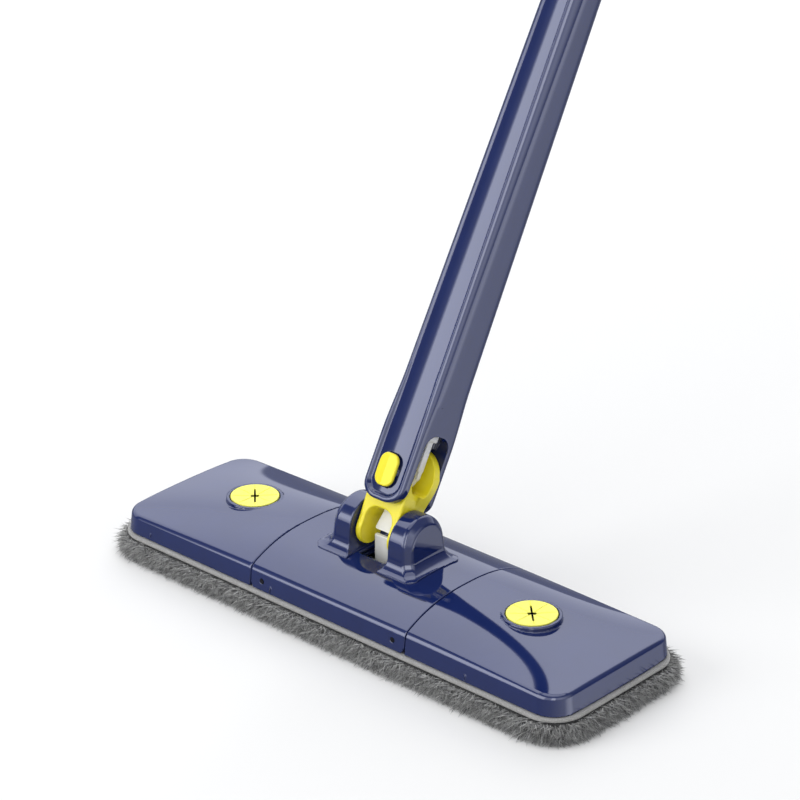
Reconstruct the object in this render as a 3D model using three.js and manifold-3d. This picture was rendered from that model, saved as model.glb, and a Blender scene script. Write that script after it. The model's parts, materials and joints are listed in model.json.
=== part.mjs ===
// Flat mop: a folding three-panel head on a plush pad, a two-axis joint and a telescopic handle.
// Millimetres, +Z up. The origin is on the floor under the middle of the head, +X along the head,
// -Y to the front. The handle leans back, so its pieces are built upright in a tilted group whose
// origin is the tilt axle.
import * as THREE from "three";
import { mergeVertices } from "three/addons/utils/BufferGeometryUtils.js";
import Module from "manifold-3d";

const wasm = await Module();
wasm.setup();

const GAP = 0.3;
const BOTH_SIDES = [["left", -1], ["right", 1]];

// Head
const HEAD_LENGTH = 336;
const HEAD_WIDTH = 104;
const CORNER_RADIUS = 18;
const CENTRE_HALF = 58.5;
const SEAM_GAP = 1;
const WING_START = CENTRE_HALF + SEAM_GAP;
const WALL = 2.2;
const WALL_HEIGHT = 11.5;
const CROWN_HEIGHT = 12.5;
const CROWN_ROUNDNESS = 2.5;
const CROWN_END_LOSS = 0.92;
const SLOT_HALF_WIDTH = 10.5;
const SLOT_FRONT = -13;
const SLOT_BACK = 12;
const CUT_THROUGH = 30;
const SEAM_CHAMFER_WIDTH = 2.2;
const SEAM_CHAMFER_HEIGHT = 3.2;

// Screws, each from below into a boss of the cover above
const SCREW_HEAD_RADIUS = 2.9;
const SCREW_HEAD_TOP = 1.5;
const SCREW_SHANK_RADIUS = 1.3;
const SCREW_TIP = 25;
const BOSS_RADIUS = 3.6;
const CENTRE_SCREW_X = 28;
const CENTRE_SCREW_Y = 36;
const NEAR_WING_SCREW = [84, 30];
const FAR_WING_SCREW = [140, -24];

// Pad
const PILE_HEIGHT = 11;
const PILE_SPREAD = 9;
const BACKING_THICKNESS = 2.7;
const BACKING_SPREAD = 2;

// Levels
const BACKING_Z = PILE_HEIGHT + GAP;
const SHELL_Z = BACKING_Z + BACKING_THICKNESS + GAP;
const BASE_THICKNESS = 2;
const BASE_TOP = SHELL_Z + BASE_THICKNESS;
const WALL_TOP = SHELL_Z + WALL_HEIGHT;
const CROWN_Z = WALL_TOP + CROWN_HEIGHT;

// Fold hinges: one pin on each side, along Y, inside the centre panel
const FOLD_X = 50;
const FOLD_Z = 20;
const FOLD_DEGREES = 70;
const FOLD_PIN_RADIUS = 1.5;
const HINGE_TUBE_RADIUS = 3.4;
const HINGE_TUBE_HALF = 36.5;
const ARM_Y = 30;
const ARM_WIDTH = 11;
const LEVER_LENGTH = 10;
const LEVER_THICKNESS = 2.4;
const LEVER_REST_ANGLE = THREE.MathUtils.degToRad(5);
const LEVER_Y = 9;
const LEVER_WIDTH = 6;
const SPRING_WIRE = 1.4;
const SPRING_LENGTH = 9;

// Pull train: lift bar under the lever tips and three flat connectors up to the pole
const BAR_TOP = FOLD_Z - 0.9;
const BAR_THICKNESS = 2.2;
const BAR_HALF_LENGTH = FOLD_X - 7.5;
const BAR_HALF_WIDTH = 14;
const CONNECTOR_HALF_WIDTH = 4.2;
const CONNECTOR_HALF_THICKNESS = 1.3;
const STRAP_TOP_HALF_WIDTH = 4.4;
const STRAP_FOOT_HALF_WIDTH = 7;
const STEM_HALF_WIDTH = 11;
const STEM_BOTTOM = 33.5;
const EYE_RADIUS = 6;
const EYE_HALF_THICKNESS = CONNECTOR_HALF_THICKNESS + 0.3;
const CLAMP_HALF_WIDTH = 11.2;
const CLAMP_HEIGHT = 9;
const STRAP_BOTTOM = 2;
const STRAP_TOP = 19;
const PRONG_BOTTOM = 17;
const AXLE_CLEARANCE = 2.2;
const PASSAGE_CLEARANCE = 0.4;
const GUIDE_HALF_LENGTH = 14;
const GUIDE_HALF_WIDTH = 19;
const GUIDE_POST_HALF = 6;

// Rag grippers
const GRIPPER_X = 106;
const GRIPPER_RADIUS = 14.3;
const GRIPPER_TOP = 36.9;
const GRIPPER_THICKNESS = 2;
const GRIPPER_LIP_RADIUS = 16.8;
const GRIPPER_WELL_RADIUS = 12;
const GRIPPER_LIP_BOTTOM = 26;
const SHORT_SLIT = [45, 3.2, 1.3];
const LONG_SLIT = [135, 17, 0.9];

// Two-axis joint
const AXLE_Y = -3;
const AXLE_Z = 50;
const TILT = THREE.MathUtils.degToRad(29.3);
const AXLE_RADIUS = 2.5;
const AXLE_BORE = AXLE_RADIUS + GAP;
const EAR_INNER = 14.5;
const EAR_OUTER = 30;
const EAR_Y = -1;
const EAR_HALF_DEPTH = 15.5;
const EAR_TOP = 67;
const EAR_FOOT = WALL_TOP + 5;
const EAR_TOE = EAR_FOOT + 6;
const EAR_WAIST = EAR_FOOT + 14;
const EAR_FRONT_FLARE = 9;
const EAR_BACK_FLARE = 6;
const EAR_SIDE_FLARE = 7;
const PEG_RADIUS = 2.2;
const PEG_X = EAR_INNER + 8;
const LEG_INNER = 9.8;
const LEG_OUTER = 14;
const LEG_RADIUS = 9.6;
const ARCH_TOP = 13;
const SWIVEL_Z = 35;
const CHEEK_RADIUS = 17;
const CHEEK_INNER = 4.6;
const FRONT_CHEEK_RADIUS = 10;
const FRONT_TAPER_BOTTOM = 23;
const LINK_HALF_DEPTH = 10.5;
const LINK_SLOT_FLOOR = 26;
const LINK_SHOULDER = 6;
const LINK_UNDERCUT = 8;
const ARCH_CORNER = 7;

// Sleeve
const SLEEVE_BOTTOM = 15;
const SLEEVE_TOP = 420;
const SLEEVE_HALF_WIDTH = 16.2;
const SLEEVE_HALF_DEPTH = 16.9;
const SLEEVE_TOP_RADIUS = 15.2;
const SLEEVE_ARCH_TOP = 61;
const SLEEVE_ARCH_CORNER = 9;
const SHOULDER_START = 50;
const SHOULDER_END = 92;
const TAPER_START = 60;
const TAPER_END = 315;
const WAIST_STEP = 0.9;
const FOOT_SQUARENESS = 9;
const WAIST_SQUARENESS = 4.4;
const ROUND = 2;
const TONGUE_RADIUS = 13;
const FORK_HALF = LINK_HALF_DEPTH + GAP;
const PANEL_HALF_WIDTH = 12;
const PANEL_DEPTH = 1.1;
const PANEL_TOP = 300;
const PANEL_TOP_HALF_WIDTH = 8;
const PANEL_CORNER = 9;
const BUTTON_WIDTH = 13.4;
const BUTTON_HEIGHT = 19;
const BUTTON_CORNER = 4.5;
const BUTTON_SEAT = 13.9;
const BUTTON_TRAVEL = 1.2;
const BUTTON_SPRING_INNER = 3.4;
const BUTTON_SPRING_OUTER = 5.6;
const BUTTON_SPRING_HEIGHT = 0.5;

// Handle
const POLE_RADIUS = 12.5;
const POLE_WALL = 1;
const POLE_BOTTOM = 78;
const POLE_TOP = 740;
const UPPER_RADIUS = 11;
const UPPER_WALL = 0.9;
const UPPER_BOTTOM = 600;
const UPPER_TOP = 1170;
const COLLAR_BOTTOM = 706;
const COLLAR_TOP = 768;
const COLLAR_RADIUS = 16;
const FLUTES = 8;
const FLUTE_RADIUS = 2;
const GRIP_BOTTOM = 1015;
const GRIP_TOP = 1182;
const GRIP_RADIUS = 15;
const TUBE_PLUG_LENGTH = 24;

const NAVY = [0x1c2350, 0.22, 0];
const YELLOW = [0xf5e02a, 0.35, 0];
const WHITE = [0xd9d9d2, 0.45, 0];
const GREY_FABRIC = [0x9b9b97, 0.95, 0];
const STEEL = [0xb8bcc2, 0.3, 1];
const ALUMINIUM = [0xc9ccd1, 0.28, 1];
const BLACK = [0x202226, 0.6, 0];

// ---------------------------------------------------------------- solids

function solid(geometry) {
  const bare = geometry.clone();
  bare.deleteAttribute("normal");
  bare.deleteAttribute("uv");
  const merged = mergeVertices(bare, 1e-4);
  return new wasm.Manifold(new wasm.Mesh({
    numProp: 3,
    vertProperties: merged.attributes.position.array,
    triVerts: new Uint32Array(merged.index.array),
  }));
}

function piece(name, manifold, [color, roughness, metalness]) {
  const mesh = manifold.getMesh();
  const geometry = new THREE.BufferGeometry();
  geometry.setAttribute("position", new THREE.BufferAttribute(mesh.vertProperties, 3));
  geometry.setIndex(new THREE.BufferAttribute(mesh.triVerts, 1));
  geometry.computeVertexNormals();
  const material = new THREE.MeshStandardMaterial({ color, roughness, metalness });
  const result = new THREE.Mesh(geometry, material);
  result.name = name;
  return result;
}

function box([x0, x1], [y0, y1], [z0, z1]) {
  const shape = new THREE.BoxGeometry(Math.abs(x1 - x0), Math.abs(y1 - y0), Math.abs(z1 - z0));
  shape.translate((x0 + x1) / 2, (y0 + y1) / 2, (z0 + z1) / 2);
  return solid(shape);
}

// A box centred on the Z axis.
function flatBar([halfX, halfY], [bottom, top]) {
  return box([-halfX, halfX], [-halfY, halfY], [bottom, top]);
}

// A round rod along one axis; at is its place on the other two axes, in X, Y, Z order.
function rod(axis, radius, [from, to], at = [0, 0], segments = 20) {
  const shape = new THREE.CylinderGeometry(radius, radius, Math.abs(to - from), segments);
  const middle = (from + to) / 2;
  if (axis === "x") {
    shape.rotateZ(Math.PI / 2);
    shape.translate(middle, at[0], at[1]);
  } else if (axis === "y") {
    shape.translate(at[0], middle, at[1]);
  } else {
    shape.rotateX(Math.PI / 2);
    shape.translate(at[0], at[1], middle);
  }
  return solid(shape);
}

// A turned piece round the Z axis; the profile lists [radius, z] and closes on itself or on the axis.
function turned(profile, segments = 24) {
  const points = profile.map(([radius, z]) => new THREE.Vector2(radius, z));
  const shape = new THREE.LatheGeometry(points, segments);
  shape.rotateX(Math.PI / 2);
  return solid(shape);
}

// An outline through corners [a, b, radius], each rounded by its own radius.
function rounded(corners) {
  const outline = new THREE.Shape();
  const kappa = 0.5523;
  corners.forEach(([a, b, radius = 0], index) => {
    const corner = new THREE.Vector2(a, b);
    const last = new THREE.Vector2(...corners.at(index - 1).slice(0, 2));
    const next = new THREE.Vector2(...corners[(index + 1) % corners.length].slice(0, 2));
    const arrive = corner.clone().add(last.sub(corner).setLength(radius));
    const leave = corner.clone().add(next.sub(corner).setLength(radius));
    if (index === 0) {
      outline.moveTo(arrive.x, arrive.y);
    } else {
      outline.lineTo(arrive.x, arrive.y);
    }
    if (radius > 0) {
      const first = arrive.clone().lerp(corner, kappa);
      const second = leave.clone().lerp(corner, kappa);
      outline.bezierCurveTo(first.x, first.y, second.x, second.y, leave.x, leave.y);
    }
  });
  return outline;
}

// Extrudes an outline along one axis. Outlines are drawn in (x, y) for z, (x, z) for y, (y, z) for x.
function prism(axis, outline, [from, to], curveSegments = 4) {
  const shape = new THREE.ExtrudeGeometry(outline, {
    depth: to - from,
    bevelEnabled: false,
    curveSegments,
  });
  const X = new THREE.Vector3(1, 0, 0);
  const Y = new THREE.Vector3(0, 1, 0);
  const Z = new THREE.Vector3(0, 0, 1);
  if (axis === "x") {
    shape.applyMatrix4(new THREE.Matrix4().makeBasis(Y, Z, X));
    shape.translate(from, 0, 0);
  } else if (axis === "y") {
    shape.applyMatrix4(new THREE.Matrix4().makeBasis(X, Z, Y.negate()));
    shape.translate(0, to, 0);
  } else {
    shape.translate(0, 0, from);
  }
  return solid(shape);
}

// ---------------------------------------------------------------- head

// Height of the pillow-shaped top at a point of the plan.
function crownHeight(x, y) {
  const along = Math.max(0, (Math.abs(x) - WING_START) / (HEAD_LENGTH / 2 - WING_START));
  const across = Math.min(1, Math.abs(y) / (HEAD_WIDTH / 2));
  const crown = CROWN_HEIGHT * Math.max(0, 1 - CROWN_END_LOSS * along ** 1.5);
  return WALL_TOP + crown * (1 - across ** CROWN_ROUNDNESS);
}

// A block under the pillow surface, from floor up, over a stretch of the head's length.
function crownBlock([x0, x1], floor, lowered = 0) {
  const columns = Math.ceil(Math.abs(x1 - x0) / 20);
  const height = 10;
  const shape = new THREE.BoxGeometry(Math.abs(x1 - x0), HEAD_WIDTH, height, columns, 10, 1);
  const position = shape.attributes.position;
  for (let i = 0; i < position.count; i += 1) {
    const x = position.getX(i) + (x0 + x1) / 2;
    const isTop = position.getZ(i) > 0;
    position.setX(i, x);
    position.setZ(i, isTop ? crownHeight(x, position.getY(i)) - lowered : floor);
  }
  return solid(shape);
}

// Plan of one panel, pulled in by an inset on its free sides.
function centrePlan(halfLength, inset) {
  const y = HEAD_WIDTH / 2 - inset;
  return rounded([[-halfLength, -y], [halfLength, -y], [halfLength, y], [-halfLength, y]]);
}

function wingPlan(side, start, inset) {
  const y = HEAD_WIDTH / 2 - inset;
  const end = HEAD_LENGTH / 2 - inset;
  const radius = Math.max(2, CORNER_RADIUS - inset);
  return rounded([
    [side * start, -y],
    [side * end, -y, radius],
    [side * end, y, radius],
    [side * start, y],
  ]);
}

// Plan places of one panel's screws; side 0 is the centre panel.
function screwPlaces(side) {
  if (side === 0) {
    const [x, y] = [CENTRE_SCREW_X, CENTRE_SCREW_Y];
    return [[-x, y], [x, y], [-x, -y], [x, -y]];
  }
  return [NEAR_WING_SCREW, FAR_WING_SCREW].map(([x, y]) => [side * x, y]);
}

function withScrewBosses(cover, places) {
  let result = cover;
  for (const place of places) {
    const top = crownHeight(...place) - WALL / 2;
    result = result.add(rod("z", BOSS_RADIUS, [BASE_TOP + GAP, top], place, 12));
    result = result.subtract(rod("z", SCREW_SHANK_RADIUS + GAP, [BASE_TOP, SCREW_TIP + 1], place, 10));
  }
  return result;
}

function screw(place) {
  const profile = [
    [0, SHELL_Z + GAP],
    [SCREW_HEAD_RADIUS, SHELL_Z + GAP],
    [SCREW_HEAD_RADIUS, SHELL_Z + SCREW_HEAD_TOP - 0.4],
    [SCREW_SHANK_RADIUS, SHELL_Z + SCREW_HEAD_TOP],
    [SCREW_SHANK_RADIUS, SCREW_TIP - 1.5],
    [0, SCREW_TIP],
  ];
  return turned(profile, 12).translate([place[0], place[1], 0]);
}

function withScrewHoles(plate, places) {
  let result = plate;
  for (const place of places) {
    const headBore = [SHELL_Z - 1, SHELL_Z + SCREW_HEAD_TOP];
    result = result.subtract(rod("z", SCREW_HEAD_RADIUS + GAP, headBore, place, 12));
    result = result.subtract(rod("z", SCREW_SHANK_RADIUS + GAP, [SHELL_Z, BASE_TOP + 1], place, 10));
  }
  return result;
}

// Slot through a cover's side wall for one of the wing base's hinge arms.
function armSlot(side, y, top) {
  const half = ARM_WIDTH / 2 + GAP + 0.2;
  return box([side * (FOLD_X + 3), side * (WING_START + 6)], [y - half, y + half], [SHELL_Z - 1, top]);
}

function centreCover() {
  const outer = crownBlock([-CENTRE_HALF, CENTRE_HALF], SHELL_Z);
  const hollowLength = CENTRE_HALF - WALL;
  const hollowPlan = centrePlan(hollowLength, WALL);
  const hollow = crownBlock([-hollowLength, hollowLength], SHELL_Z - 1, WALL)
    .intersect(prism("z", hollowPlan, [SHELL_Z - 1, CROWN_Z]));
  let cover = withScrewBosses(outer.subtract(hollow), screwPlaces(0));
  const slotSpan = [-SLOT_HALF_WIDTH, SLOT_HALF_WIDTH];
  cover = cover.subtract(box(slotSpan, [SLOT_FRONT, SLOT_BACK], [BASE_TOP + 10, CROWN_Z + 1]));
  for (const [, side] of BOTH_SIDES) {
    const across = [-HEAD_WIDTH / 2 - 1, HEAD_WIDTH / 2 + 1];
    cover = cover.subtract(rod("y", FOLD_PIN_RADIUS + GAP, across, [side * FOLD_X, FOLD_Z], 16));
    for (const y of [-ARM_Y, ARM_Y]) {
      cover = cover.subtract(armSlot(side, y, FOLD_Z + HINGE_TUBE_RADIUS + 0.6));
    }
    const chamfer = rounded([
      [side * (CENTRE_HALF - SEAM_CHAMFER_WIDTH), SHELL_Z - 1],
      [side * (CENTRE_HALF + 1), SHELL_Z - 1],
      [side * (CENTRE_HALF + 1), SHELL_Z + SEAM_CHAMFER_HEIGHT],
    ]);
    cover = cover.subtract(prism("y", chamfer, across));
    const pegHole = [side * PEG_X, EAR_Y];
    cover = cover.subtract(rod("z", PEG_RADIUS + GAP, [CROWN_Z - 6, CROWN_Z + 1], pegHole, 16));
  }
  return cover;
}

function centreBase() {
  const plan = centrePlan(FOLD_X - 7, WALL + GAP);
  return withScrewHoles(prism("z", plan, [SHELL_Z, BASE_TOP]), screwPlaces(0));
}

function wingCover(side) {
  const end = HEAD_LENGTH / 2;
  const outer = crownBlock([side * WING_START, side * end], SHELL_Z)
    .intersect(prism("z", wingPlan(side, WING_START, 0), [SHELL_Z, CROWN_Z + 1]));
  const inner = [side * (WING_START + WALL), side * (end - WALL)];
  const hollow = crownBlock(inner, SHELL_Z - 1, WALL)
    .intersect(prism("z", wingPlan(side, WING_START + WALL, WALL), [SHELL_Z - 1, CROWN_Z]));
  const centre = [side * GRIPPER_X, 0];
  let cover = withScrewBosses(outer.subtract(hollow), screwPlaces(side));
  cover = cover.add(rod("z", GRIPPER_LIP_RADIUS, [GRIPPER_LIP_BOTTOM, GRIPPER_TOP - 0.4], centre, 28));
  const seat = GRIPPER_TOP - GRIPPER_THICKNESS - GAP;
  cover = cover.subtract(rod("z", GRIPPER_RADIUS + GAP, [seat, CROWN_Z + 5], centre, 28));
  cover = cover.subtract(rod("z", GRIPPER_WELL_RADIUS + GAP, [20, seat + 1], centre, 28));
  for (const y of [-ARM_Y, ARM_Y]) {
    cover = cover.subtract(armSlot(side, y, FOLD_Z + 0.5));
  }
  return cover;
}

// The wing's base carries the hinge tube and the two levers that the lift bar raises.
function wingBase(side) {
  const start = WING_START + WALL + GAP;
  let base = prism("z", wingPlan(side, start, WALL + GAP), [SHELL_Z, BASE_TOP]);
  base = withScrewHoles(base, screwPlaces(side));
  for (const y of [-ARM_Y, ARM_Y]) {
    const across = [y - ARM_WIDTH / 2, y + ARM_WIDTH / 2];
    base = base.add(box([side * (start - 0.5), side * (start + 5)], across, [SHELL_Z, FOLD_Z]));
    base = base.add(box([side * FOLD_X, side * (start + 5)], across, [BASE_TOP, FOLD_Z]));
  }
  const axis = [side * FOLD_X, FOLD_Z];
  base = base.add(rod("y", HINGE_TUBE_RADIUS, [-HINGE_TUBE_HALF, HINGE_TUBE_HALF], axis, 24));
  const reach = LEVER_LENGTH * Math.cos(LEVER_REST_ANGLE);
  const rise = LEVER_LENGTH * Math.sin(LEVER_REST_ANGLE);
  const half = LEVER_THICKNESS / 2;
  const tip = [side * (FOLD_X - reach), FOLD_Z + rise];
  for (const y of [-LEVER_Y, LEVER_Y]) {
    const across = [y - LEVER_WIDTH / 2, y + LEVER_WIDTH / 2];
    const arm = rounded([
      [side * FOLD_X, FOLD_Z - half],
      [side * FOLD_X, FOLD_Z + half],
      [tip[0], tip[1] + half],
      [tip[0], tip[1] - half],
    ]);
    base = base.add(prism("y", arm, across)).add(rod("y", half, across, tip, 12));
  }
  const length = [-HINGE_TUBE_HALF - 1, HINGE_TUBE_HALF + 1];
  return base.subtract(rod("y", FOLD_PIN_RADIUS + GAP, length, axis, 16));
}

// Hinge pin of one wing, the full width of the head.
function foldPin(side) {
  const half = HEAD_WIDTH / 2 - 0.6;
  return rod("y", FOLD_PIN_RADIUS, [-half, half], [side * FOLD_X, FOLD_Z], 16);
}

// Torsion spring that closes the wing, at the back end of its hinge tube.
function returnSpring(side) {
  const inner = FOLD_PIN_RADIUS + GAP;
  const outer = inner + SPRING_WIRE;
  const start = HINGE_TUBE_HALF + 0.6;
  const end = start + SPRING_LENGTH;
  const ring = turned([[inner, start], [outer, start], [outer, end], [inner, end], [inner, start]], 20);
  return ring.rotate([-90, 0, 0]).translate([side * FOLD_X, 0, FOLD_Z]);
}

function gripperDisc(side) {
  const bottom = GRIPPER_TOP - GRIPPER_THICKNESS;
  let disc = turned([
    [0, bottom],
    [GRIPPER_RADIUS, bottom],
    [GRIPPER_RADIUS, GRIPPER_TOP - 0.6],
    [GRIPPER_RADIUS - 0.6, GRIPPER_TOP],
    [0, GRIPPER_TOP - 0.5],
  ], 28);
  for (const [degrees, length, width] of [SHORT_SLIT, LONG_SLIT]) {
    const slit = box([-length / 2, length / 2], [-width / 2, width / 2], [bottom - 1, GRIPPER_TOP + 1]);
    disc = disc.subtract(slit.rotate([0, 0, degrees]));
  }
  return disc.translate([side * GRIPPER_X, 0, 0]);
}

// Clip ring under the disc, round the well.
function gripperRing(side) {
  const inner = GRIPPER_WELL_RADIUS - 2.2;
  const outer = GRIPPER_WELL_RADIUS;
  const [bottom, top] = [GRIPPER_LIP_BOTTOM + 1, GRIPPER_TOP - GRIPPER_THICKNESS - GAP];
  const profile = [[inner, bottom], [outer, bottom], [outer, top], [inner, top], [inner, bottom]];
  return turned(profile, 24).translate([side * GRIPPER_X, 0, 0]);
}

// ---------------------------------------------------------------- pad

// The pad is cut back from the fold hinge by the fold's mitre, so the halves meet when it folds.
function mitre(z) {
  return (FOLD_Z - z) * Math.tan(THREE.MathUtils.degToRad(FOLD_DEGREES / 2)) + 0.6;
}

function padPlan(spread) {
  const x = HEAD_LENGTH / 2 + spread;
  const y = HEAD_WIDTH / 2 + spread;
  const radius = CORNER_RADIUS + spread;
  return rounded([[-x, -y, radius], [x, -y, radius], [x, y, radius], [-x, y, radius]]);
}

function centrePad(spread, [bottom, top]) {
  const section = rounded([
    [-FOLD_X + mitre(bottom), bottom],
    [FOLD_X - mitre(bottom), bottom],
    [FOLD_X - mitre(top), top],
    [-FOLD_X + mitre(top), top],
  ]);
  const across = [-HEAD_WIDTH, HEAD_WIDTH];
  return prism("z", padPlan(spread), [bottom, top]).intersect(prism("y", section, across));
}

function wingPad(side, spread, [bottom, top]) {
  const section = rounded([
    [side * (FOLD_X + mitre(bottom)), bottom],
    [side * HEAD_LENGTH, bottom],
    [side * HEAD_LENGTH, top],
    [side * (FOLD_X + mitre(top)), top],
  ]);
  const across = [-HEAD_WIDTH, HEAD_WIDTH];
  return prism("z", padPlan(spread), [bottom, top]).intersect(prism("y", section, across));
}

const PILE = [0, PILE_HEIGHT];
const BACKING = [BACKING_Z, BACKING_Z + BACKING_THICKNESS];

// ---------------------------------------------------------------- ears and pull train

// Round-topped ear with a flared foot that sits on the pillow.
function ear(side) {
  const round = EAR_HALF_DEPTH;
  const front = EAR_Y - EAR_HALF_DEPTH;
  const back = EAR_Y + EAR_HALF_DEPTH;
  const profile = rounded([
    [front - EAR_FRONT_FLARE, EAR_FOOT],
    [front - EAR_FRONT_FLARE + 1, EAR_TOE, 1],
    [front - 1, EAR_WAIST, 8],
    [front, EAR_TOP, round],
    [back, EAR_TOP, round],
    [back + 1, EAR_WAIST, 5],
    [back + EAR_BACK_FLARE, EAR_TOE, 1],
    [back + EAR_BACK_FLARE, EAR_FOOT],
  ]);
  const width = rounded([
    [side * EAR_INNER, EAR_FOOT],
    [side * EAR_INNER, EAR_TOP],
    [side * (EAR_OUTER - 4), EAR_TOP, 2],
    [side * EAR_OUTER, EAR_TOP - 5, 2],
    [side * (EAR_OUTER + 1), EAR_WAIST - 2, 5],
    [side * (EAR_OUTER + EAR_SIDE_FLARE - 1), EAR_TOE, 1],
    [side * (EAR_OUTER + EAR_SIDE_FLARE), EAR_FOOT],
  ]);
  const reach = [front - CUT_THROUGH, back + CUT_THROUGH];
  const stretch = [Math.min(0, side * CENTRE_HALF), Math.max(0, side * CENTRE_HALF)];
  const pillow = crownBlock([-CENTRE_HALF, CENTRE_HALF], SHELL_Z, -GAP);
  const bore = rod("x", AXLE_BORE, [0, side * (EAR_OUTER - 4)], [AXLE_Y, AXLE_Z], 24);
  const peg = rod("z", PEG_RADIUS, [CROWN_Z - 3, CROWN_Z + 4], [side * PEG_X, EAR_Y], 16);
  return prism("x", profile, stretch).intersect(prism("y", width, reach))
    .subtract(pillow).subtract(bore).add(peg);
}

// Half of the tilt axle, from the link's leg into the ear.
function tiltPin(side) {
  return rod("x", AXLE_RADIUS, [side * (LEG_INNER + 0.2), side * (EAR_OUTER - 5)], [AXLE_Y, AXLE_Z], 24);
}

// Bar under the lever tips; raising it folds both wings.
function liftBar() {
  const outline = rounded([
    [-BAR_HALF_LENGTH, -BAR_HALF_WIDTH, 2],
    [BAR_HALF_LENGTH, -BAR_HALF_WIDTH, 2],
    [BAR_HALF_LENGTH, BAR_HALF_WIDTH, 2],
    [-BAR_HALF_LENGTH, BAR_HALF_WIDTH, 2],
  ]);
  return prism("z", outline, [BAR_TOP - BAR_THICKNESS, BAR_TOP], 3);
}

// Frame under the cover's slot, on two posts that stand beside the lift bar.
function liftGuide() {
  const top = CROWN_Z - 3.6;
  const [slotHalf, slotFront, slotBack] = [SLOT_HALF_WIDTH + GAP, SLOT_FRONT - GAP, SLOT_BACK + GAP];
  let guide = flatBar([GUIDE_HALF_LENGTH, GUIDE_HALF_WIDTH], [top - 2, top]);
  guide = guide.subtract(box([-slotHalf, slotHalf], [slotFront, slotBack], [top - 3, top + 1]));
  for (const side of [-1, 1]) {
    const across = [side * (BAR_HALF_WIDTH + 2.5), side * GUIDE_HALF_WIDTH];
    guide = guide.add(box([-GUIDE_POST_HALF, GUIDE_POST_HALF], across, [BASE_TOP + GAP, top - 1]));
  }
  return guide;
}

// Flat strap from the lift bar up to the tilt axle.
function lowerConnector() {
  const half = STRAP_FOOT_HALF_WIDTH - PASSAGE_CLEARANCE;
  const outline = rounded([
    [-half, BAR_TOP + GAP],
    [half, BAR_TOP + GAP],
    [half, AXLE_Z - AXLE_CLEARANCE, 2],
    [-half, AXLE_Z - AXLE_CLEARANCE, 2],
  ]);
  const thickness = [AXLE_Y - CONNECTOR_HALF_THICKNESS, AXLE_Y + CONNECTOR_HALF_THICKNESS];
  return prism("y", outline, thickness, 3);
}

// ---------------------------------------------------------------- joint link (handle frame)

// Lower fork on the tilt axle, bridge, and two round cheeks on the swivel axle.
function link() {
  const shoulder = ARCH_TOP + LINK_SHOULDER;
  const undercut = ARCH_TOP - LINK_UNDERCUT;
  let body = rod("x", LEG_RADIUS, [-LEG_OUTER, LEG_OUTER], [0, 0], 32);
  body = body.add(flatBar([LEG_OUTER, LEG_RADIUS], [0, shoulder - 2]));
  body = body.add(prism("x", rounded([
    [-LEG_RADIUS, undercut],
    [-LINK_HALF_DEPTH, shoulder],
    [-LINK_HALF_DEPTH, SWIVEL_Z],
    [LINK_HALF_DEPTH, SWIVEL_Z],
    [LINK_HALF_DEPTH, shoulder],
    [LEG_RADIUS, undercut],
  ]), [-LEG_OUTER, LEG_OUTER]));
  body = body.add(rod("y", CHEEK_RADIUS, [0, LINK_HALF_DEPTH], [0, SWIVEL_Z], 32));
  body = body.add(rod("y", FRONT_CHEEK_RADIUS, [-LINK_HALF_DEPTH, 0], [0, SWIVEL_Z], 32));
  for (const side of [-1, 1]) {
    const taper = rounded([
      [side * LEG_OUTER, FRONT_TAPER_BOTTOM],
      [side * FRONT_CHEEK_RADIUS, SWIVEL_Z - 1],
      [side * FRONT_CHEEK_RADIUS, SWIVEL_Z + 20],
      [side * (LEG_OUTER + 6), SWIVEL_Z + 20],
      [side * (LEG_OUTER + 6), FRONT_TAPER_BOTTOM],
    ]);
    body = body.subtract(prism("y", taper, [-LINK_HALF_DEPTH - 1, -CHEEK_INNER + 0.1]));
  }
  const arch = rounded([
    [-LEG_INNER, -LEG_RADIUS - 1],
    [LEG_INNER, -LEG_RADIUS - 1],
    [LEG_INNER, ARCH_TOP, ARCH_CORNER],
    [-LEG_INNER, ARCH_TOP, ARCH_CORNER],
  ]);
  const through = [-CUT_THROUGH, CUT_THROUGH];
  body = body.subtract(prism("y", arch, through));
  const slotTop = SWIVEL_Z + CHEEK_RADIUS + 1;
  body = body.subtract(flatBar([CUT_THROUGH, CHEEK_INNER], [LINK_SLOT_FLOOR, slotTop]));
  const passageHalf = STRAP_FOOT_HALF_WIDTH + PASSAGE_CLEARANCE;
  body = body.subtract(flatBar([passageHalf, CHEEK_INNER], [ARCH_TOP - 3, LINK_SLOT_FLOOR + 1]));
  body = body.subtract(rod("x", AXLE_BORE, through, [0, 0], 24));
  return body.subtract(rod("y", AXLE_BORE, through, [0, SWIVEL_Z], 24));
}

// A strap that widens to its foot, with two prongs at its top that hold the stem's eye between them.
function middleConnector() {
  const thin = CONNECTOR_HALF_THICKNESS;
  const strap = rounded([
    [-STRAP_FOOT_HALF_WIDTH, STRAP_BOTTOM],
    [STRAP_FOOT_HALF_WIDTH, STRAP_BOTTOM],
    [STRAP_TOP_HALF_WIDTH, ARCH_TOP - 1],
    [STRAP_TOP_HALF_WIDTH, STRAP_TOP],
    [-STRAP_TOP_HALF_WIDTH, STRAP_TOP],
    [-STRAP_TOP_HALF_WIDTH, ARCH_TOP - 1],
  ]);
  const prongSize = [thin + 0.5, CONNECTOR_HALF_WIDTH - 0.2];
  const prongs = flatBar(prongSize, [PRONG_BOTTOM, SWIVEL_Z - AXLE_CLEARANCE]);
  const gapFloor = SWIVEL_Z - EYE_RADIUS - 1.2;
  const gap = flatBar([CUT_THROUGH, EYE_HALF_THICKNESS + GAP], [gapFloor, SWIVEL_Z]);
  return prism("y", strap, [-thin, thin]).add(prongs.subtract(gap));
}

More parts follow.
